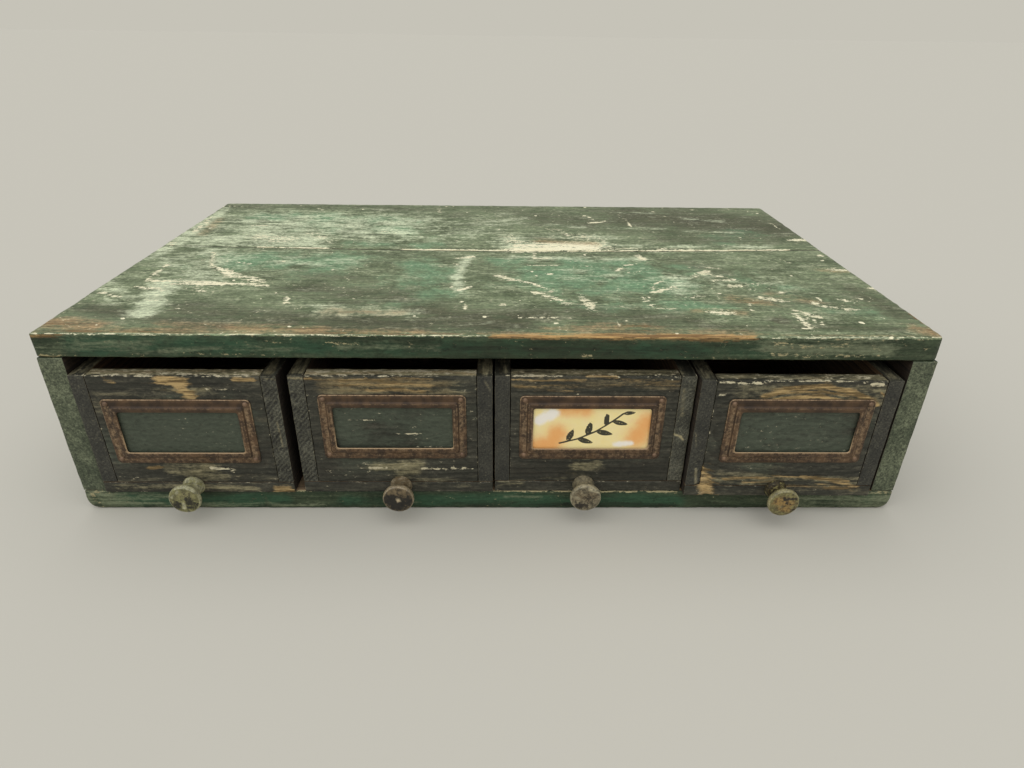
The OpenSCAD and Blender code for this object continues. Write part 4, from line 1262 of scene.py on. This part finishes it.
KNOB_FINISHES = {
    1: ("#75724a", "#878158", "#2a2818", "#bab794"), 2: ("#5c4f38", "#6e5f45", "#1e1a13", "#a6977a"),
    3: ("#7a7159", "#675b44", "#332c20", "#aca385"), 4: ("#736c44", "#8a7040", "#32291b", "#aaa27a"),
}
KNOB_MARKS = {
    1: {
        "wood": [([(-4, 6), (6, 6)], 5, 0.6)],
        "dark": [
            ([(-7, -5), (-4, -3)], 3, 0.9), ([(3, -1), (8, -4)], 3, 0.9), ([(3, -7), (6, -7)], 3, 0.7),
        ],
        "pale": [([(-1, -1), (-1, -7)], 1.5, 0.8), ([(-9, 3), (-3, 9)], 1.5, 0.6)],
    },
    2: {
        "wood": [([(-6, 9), (6, 9)], 4, 0.8)],
        "dark": [([(-7, -1), (7, -1)], 5, 1.0), ([(-3, -6), (3, -6)], 4, 1.0)],
        "pale": [([(0, 0), (0.5, 0)], 1.7, 0.9)],
    },
    3: {
        "wood": [([(-4, 2), (6, 4)], 6, 0.7)],
        "dark": [([(-7, -6), (1, -7)], 2.6, 0.75), ([(1, 2), (7, -1)], 2, 0.5)],
        # Knob 3's first pale mark, at the upper right of its face, is a painted highlight
        "pale": [([(3, 10), (8, 8)], 2, 0.8), ([(-8, 2), (-4, 0)], 2, 0.5)],
    },
    4: {
        "wood": [([(-4, 2), (5, 0)], 5, 0.9), ([(-2, -4), (4, -5)], 3, 0.8)],
        "dark": [
            ([(-1, 5), (8, 5)], 1.2, 0.9), ([(1, 1), (6, 0)], 1.2, 0.55), ([(8, -6), (9, 2)], 2, 0.6),
        ],
        "pale": [([(-6, -1), (-2, -2)], 1.2, 0.5)],
    },
}
RIM_WEAR = {"wood": 0.0, "dark": 0.0, "pale": 0.55}
# The pale on the necks of knobs 1 and 4 is partly rubbed paint and partly painted highlight
NECK_WEAR_AND_HIGHLIGHT = {
    1: {"wood": 0.3, "dark": 0.1, "pale": 0.5}, 2: {"wood": 0.3, "dark": 0.2, "pale": 0.4},
    3: {"wood": 0.3, "dark": 0.25, "pale": 0.3}, 4: {"wood": 0.3, "dark": 0.6, "pale": 0.2},
}
NECK_TO = 14.0
RIM_FROM = 11.0
FACE_FROM = 19.35
for i in DRAWERS:
    node = f"drawer_{i}_knob"
    low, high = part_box(node)
    middle = (low + high) / 2
    turns = [2 * math.pi * k / KNOB_SIDES for k in range(KNOB_SIDES)]
    rings = []
    for radius, out in KNOB_SECTION:
        r = radius * MM
        y = high.y - out * MM
        rings.append([(middle.x + r * math.cos(a), y, middle.z + r * math.sin(a)) for a in turns])
    knob = loft(node + "_turned", rings, closed=False)
    places = corners_of(knob)
    out = high.y * 1000 - places[:, 1]
    across = places[:, [0, 2]] - [middle.x * 1000, middle.z * 1000]
    away = np.linalg.norm(across, axis=1)
    on_neck = out < NECK_TO
    on_rim = (away > RIM_FROM) | (out < FACE_FROM)
    for kind, marks in KNOB_MARKS[i].items():
        face = worn_along(across, marks)
        store(knob, kind, np.select([on_neck, on_rim], [NECK_WEAR_AND_HIGHLIGHT[i][kind], RIM_WEAR[kind]], face))
    finish_faces(knob, [knob_finish(f"worn paint on knob {i}", *KNOB_FINISHES[i])])
    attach(knob, f"drawer_{i}")
    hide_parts(node)


# Floor, light and camera
# A plain pale floor, one large soft lamp overhead to the left, and an even pale surround.
# The camera stands where the photograph was taken, close and high in front of the middle.
FLOOR_SIZE = 60.0
FLOOR_TONE = "#c6c3b8"
bpy.ops.object.select_all(action="DESELECT")
bpy.ops.mesh.primitive_plane_add(size=FLOOR_SIZE, location=(0, 0, 0))
floor = bpy.context.object
floor.name = "floor"
floor_material, tree, surface = new_material("plain pale floor")
surface.inputs["Base Color"].default_value = linear(FLOOR_TONE)
surface.inputs["Roughness"].default_value = 1.0
surface.inputs["Specular IOR Level"].default_value = 0.0
floor.data.materials.append(floor_material)

LAMP_SPREAD = math.radians(110)
LAMP_STRENGTH = 2.0
LAMP_FROM = Vector((-0.22, -0.3, 1.0))
FILL_STRENGTH = 0.42
lamp = bpy.data.objects.new("soft lamp", bpy.data.lights.new("soft lamp", "SUN"))
lamp.data.angle = LAMP_SPREAD
lamp.data.energy = LAMP_STRENGTH
lamp.rotation_euler = LAMP_FROM.to_track_quat("Z", "Y").to_euler()
scene.collection.objects.link(lamp)

world = bpy.data.worlds.new("pale surround")
world.use_nodes = True
tree = world.node_tree
seen = add(tree, "LightPath", {}, out="Is Camera Ray")
fill = [FILL_STRENGTH, FILL_STRENGTH, FILL_STRENGTH, 1.0]
surround = add(tree, "Mix", {0: seen, 6: fill, 7: linear(FLOOR_TONE)}, **OVER)
tree.links.new(surround, tree.nodes["Background"].inputs["Color"])
scene.world = world

CAMERA_PLACE = (0.0048, -0.6356, 0.3520)
CAMERA_TURN = (math.radians(1.24), math.radians(28.21), math.radians(-0.8))
CAMERA_LENS = 23.46
yaw, pitch, roll = CAMERA_TURN
ahead = Vector((math.sin(yaw) * math.cos(pitch), math.cos(yaw) * math.cos(pitch), -math.sin(pitch)))
right = Vector((math.cos(yaw), -math.sin(yaw), 0))
down = ahead.cross(right)
right_rolled = math.cos(roll) * right + math.sin(roll) * down
down_rolled = -math.sin(roll) * right + math.cos(roll) * down
turned = Matrix((right_rolled, -down_rolled, -ahead)).transposed().to_4x4()
camera = bpy.data.objects.new("camera", bpy.data.cameras.new("camera"))
camera.data.lens = CAMERA_LENS
camera.data.sensor_width = 36
camera.data.clip_start = 0.01
camera.matrix_world = Matrix.Translation(CAMERA_PLACE) @ turned
scene.collection.objects.link(camera)
scene.camera = camera

bpy.context.view_layer.update()
